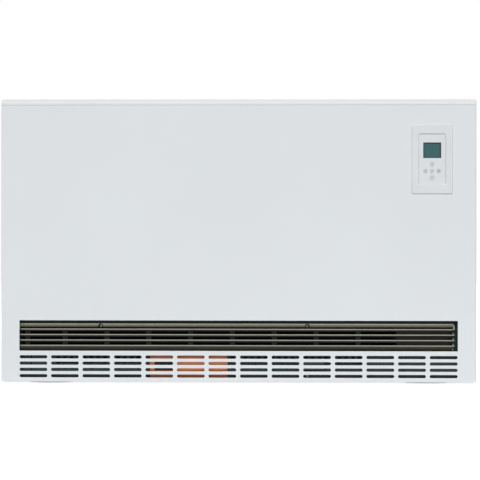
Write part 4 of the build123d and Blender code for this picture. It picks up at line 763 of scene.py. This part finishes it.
for button, outlines in marks.items():
    low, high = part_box(button)
    mark_mesh = bmesh.new()
    for outline in outlines:
        add_mark(mark_mesh, outline, (low + high) / 2, low.y)
    new_piece(button.replace("button", "mark"), mark_mesh, "ink", button + "_body")

# Turned-up tab at the right end of each slat, on a length of the slat's lip that covers the end plate.
# The first slat's tab is a taller ear.
slats_low, slats_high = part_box("grille_slats")
slat_count = 4
slat_pitch = 13.0 * MM
tab_width, tab_height, tab_corner = 1.8 * MM, 4.6 * MM, 1.4 * MM
ear_left, ear_height, ear_corner = 0.4 * MM, 10.4 * MM, 2.3 * MM
lip_height, lip_reach = 2.0 * MM, 2.9 * MM
tab_sheet = 0.8 * MM
tab_front = slats_low.y + 0.3 * MM
tab_drop = 0.2 * MM


def tab_outline(left, right, top, corner):
    """Tab with a rounded corner on its length of lip, about the end of the slat's upper edge."""
    lip = [(lip_reach, 0.0), (lip_reach, -lip_height), (-tab_width, -lip_height), (-tab_width, 0.0)]
    points = [(right, 0.0)] + lip + [(left, 0.0), (left, top)]
    return list(dict.fromkeys(points)) + quarter_round(right, top, corner)


tab_mesh = bmesh.new()
for row in range(slat_count):
    foot_z = slats_high.z - row * slat_pitch - tab_drop
    outline = tab_outline(-tab_width, 0.0, tab_height, tab_corner)
    if row == 0:
        outline = tab_outline(ear_left, lip_reach, ear_height, ear_corner)
    placed = [(slats_high.x + across, foot_z + up) for across, up in outline]
    upright_sheet(tab_mesh, placed, tab_front, tab_sheet)
new_piece("slat_end_tabs", tab_mesh, "bronze", "heater")

# Rivet on the slope of the bottom rail, near its right end
sill_low, sill_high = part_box("grille_bottom_rail")
rivet_inset, rivet_back, rivet_rise = 1.4 * MM, 4.15 * MM, 3.6 * MM
rivet_foot = Vector((sill_high.x - rivet_inset, sill_low.y + rivet_back, sill_low.z + rivet_rise))
rivet_radius, rivet_height, rivet_sunk = 1.35 * MM, 1.5 * MM, 0.6 * MM
rivet_segments, rivet_steps = 20, 6
slope_run, slope_rise = 0.81, 0.585
slope_out = Vector((0.0, -slope_run, -slope_rise))
slope_up = Vector((0.0, -slope_rise, slope_run))


def on_slope(across, up, out):
    return rivet_foot + Vector((across, 0.0, 0.0)) + slope_up * up + slope_out * out


rivet_profile = [(rivet_radius, -rivet_sunk)]
for step in range(rivet_steps):
    angle = step / rivet_steps * math.pi / 2
    rivet_profile.append((rivet_radius * math.cos(angle), rivet_height * math.sin(angle)))
rivet_mesh = bmesh.new()
rivet_top = turned(rivet_mesh, rivet_profile, rivet_segments, on_slope)
rivet_mesh.faces.new(rivet_top).smooth = True
# Light plastic on the rivet: painted highlight for the glint of its dome
new_piece("rail_rivet", rivet_mesh, "natural", "heater")

# Flange that closes the window above the top rail; its dark teal is painted shade for the gap there
rail_low, rail_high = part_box("grille_top_rail")
flange_sheet, flange_gap, flange_height = 0.9 * MM, 0.05 * MM, 7.8 * MM
flange_mesh = bmesh.new()
flange_outline = rectangle(rail_low.x, rail_high.x, rail_high.z + flange_gap, rail_high.z + flange_height)
upright_sheet(flange_mesh, flange_outline, rail_high.y - flange_sheet, flange_sheet)
new_piece("rail_top_flange", flange_mesh, "closing", "heater")

# Lip that closes the open front end of each foot rail
foot_middle, foot_front, foot_sheet = 447 * MM, -118.9 * MM, 0.8 * MM
foot_low, foot_high = 0.15 * MM, 3.9 * MM
foot_low_half, foot_high_half = 26.0 * MM, 31.0 * MM
foot_mesh = bmesh.new()
for middle in (-foot_middle, foot_middle):
    outline = [(middle - foot_low_half, foot_low), (middle + foot_low_half, foot_low),
               (middle + foot_high_half, foot_high), (middle - foot_high_half, foot_high)]
    upright_sheet(foot_mesh, outline, foot_front, foot_sheet)
new_piece("foot_end_lips", foot_mesh, "foot", "heater")

# Strip that closes the window beside the right end plate; its dark teal is painted shade for the gap there
strip_left, strip_right = 513.3 * MM, 523.6 * MM
strip_low, strip_high = 76.8 * MM, 149.8 * MM
strip_front, strip_sheet = -98.6 * MM, 0.8 * MM
strip_mesh = bmesh.new()
strip_outline = rectangle(strip_left, strip_right, strip_low, strip_high)
upright_sheet(strip_mesh, strip_outline, strip_front, strip_sheet)
new_piece("end_closing_strip", strip_mesh, "closing", "heater")


# Floor and background
def white_for_view(tree, lit, white):
    """Shader that the camera, reflections and glass see as near white, and that lights the rest as it is."""
    path = new_node(tree, "LightPath")
    seen = path.outputs["Is Camera Ray"]
    for ray_kind in ("Is Glossy Ray", "Is Transmission Ray"):
        either = new_node(tree, "Math")
        either.operation = "MAXIMUM"
        tree.links.new(seen, either.inputs[0])
        tree.links.new(path.outputs[ray_kind], either.inputs[1])
        seen = either.outputs[0]
    mix = new_node(tree, "MixShader")
    for socket, source in zip(mix.inputs, (seen, lit, white)):
        tree.links.new(source, socket)
    return mix.outputs[0]


def floor_finish():
    """Pale matt floor with a faint drift of tone, brightened for the view only."""
    material = bpy.data.materials.new("floor_pale")
    material.use_nodes = True
    tree = material.node_tree
    tree.nodes.clear()
    output = new_node(tree, "OutputMaterial")
    coords = new_node(tree, "TexCoord")
    grain = new_node(tree, "TexNoise", Scale=3.0)
    tone = new_node(tree, "ValToRGB")
    tone.color_ramp.elements[0].color = (0.76, 0.765, 0.77, 1.0)
    tone.color_ramp.elements[1].color = (0.8, 0.8, 0.8, 1.0)
    matt = new_node(tree, "BsdfDiffuse")
    glow = new_node(tree, "Emission", Strength=0.7)
    both = new_node(tree, "AddShader")
    tree.links.new(coords.outputs["Object"], grain.inputs["Vector"])
    tree.links.new(grain.outputs["Fac"], tone.inputs[0])
    tree.links.new(tone.outputs[0], matt.inputs["Color"])
    tree.links.new(matt.outputs[0], both.inputs[0])
    tree.links.new(glow.outputs[0], both.inputs[1])
    tree.links.new(white_for_view(tree, matt.outputs[0], both.outputs[0]), output.inputs[0])
    return material


# The floor lies just under the feet, so that the two don't share a plane
floor_reach, floor_steps, floor_drop = 9.0, 12, 0.05 * MM
floor_mesh = bmesh.new()
bmesh.ops.create_grid(floor_mesh, x_segments=floor_steps, y_segments=floor_steps, size=floor_reach)
floor = mesh_object("floor", floor_mesh)
floor.data.materials.append(floor_finish())
floor.location.z = -floor_drop

sky_strength, view_strength = 0.26, 1.0
sky_white = (1.0, 1.0, 1.0, 1.0)
world = bpy.data.worlds.new("studio")
bpy.context.scene.world = world
world.use_nodes = True
sky = world.node_tree
sky.nodes.clear()
sky_output = new_node(sky, "OutputWorld")
soft = new_node(sky, "Background", Color=sky_white, Strength=sky_strength)
bright = new_node(sky, "Background", Color=sky_white, Strength=view_strength)
sky.links.new(white_for_view(sky, soft.outputs[0], bright.outputs[0]), sky_output.inputs[0])


# Lights
def lamp(name, kind, place, aim, **settings):
    """Light at a place, aimed at a point: a sun in W/m2 square to it, or an area lamp in watts."""
    data = bpy.data.lights.new(name, kind)
    for setting, value in settings.items():
        setattr(data, setting, value)
    light = new_object(name, data)
    light.location = place
    light.rotation_euler = (Vector(aim) - Vector(place)).to_track_quat("-Z", "Y").to_euler()


lamp("key", "SUN", (0.0, -5.5, 5.0), (0.0, 0.0, 0.2), energy=2.02, angle=math.radians(24.0))
lamp("fill", "AREA", (0.0, -1.9, 0.25), (0.0, -0.1, 0.25), shape="RECTANGLE", size=1.3, size_y=0.3,
     energy=0.9)
lamp("rear", "AREA", (0.6, 3.2, 1.6), (0.0, 0.1, 0.3), shape="RECTANGLE", size=2.4, size_y=1.3,
     energy=36.0)

# Camera nearly square to the front, far enough for the photograph's flat perspective. The image's width is
# in pixels, and a pixel's size in millimetres is that at the front of the casing.
image_width = 480
pixel_size = 2.3765
sensor_width = 36.0
distance = 4.0
front_y = -0.122
aim_x, camera_z = 0.0042, 0.3411
yaw, roll = math.radians(1.0), math.radians(-0.053)
view_width = image_width * pixel_size * MM
camera_data = bpy.data.cameras.new("camera")
camera_data.sensor_width = sensor_width
camera_data.lens = sensor_width * distance / view_width
camera = new_object("camera", camera_data)
camera.location = (aim_x + distance * math.sin(yaw), front_y - distance * math.cos(yaw), camera_z)
camera.rotation_euler = (math.radians(90.0), roll, yaw)
bpy.context.scene.camera = camera
bpy.context.scene.view_settings.view_transform = "Standard"
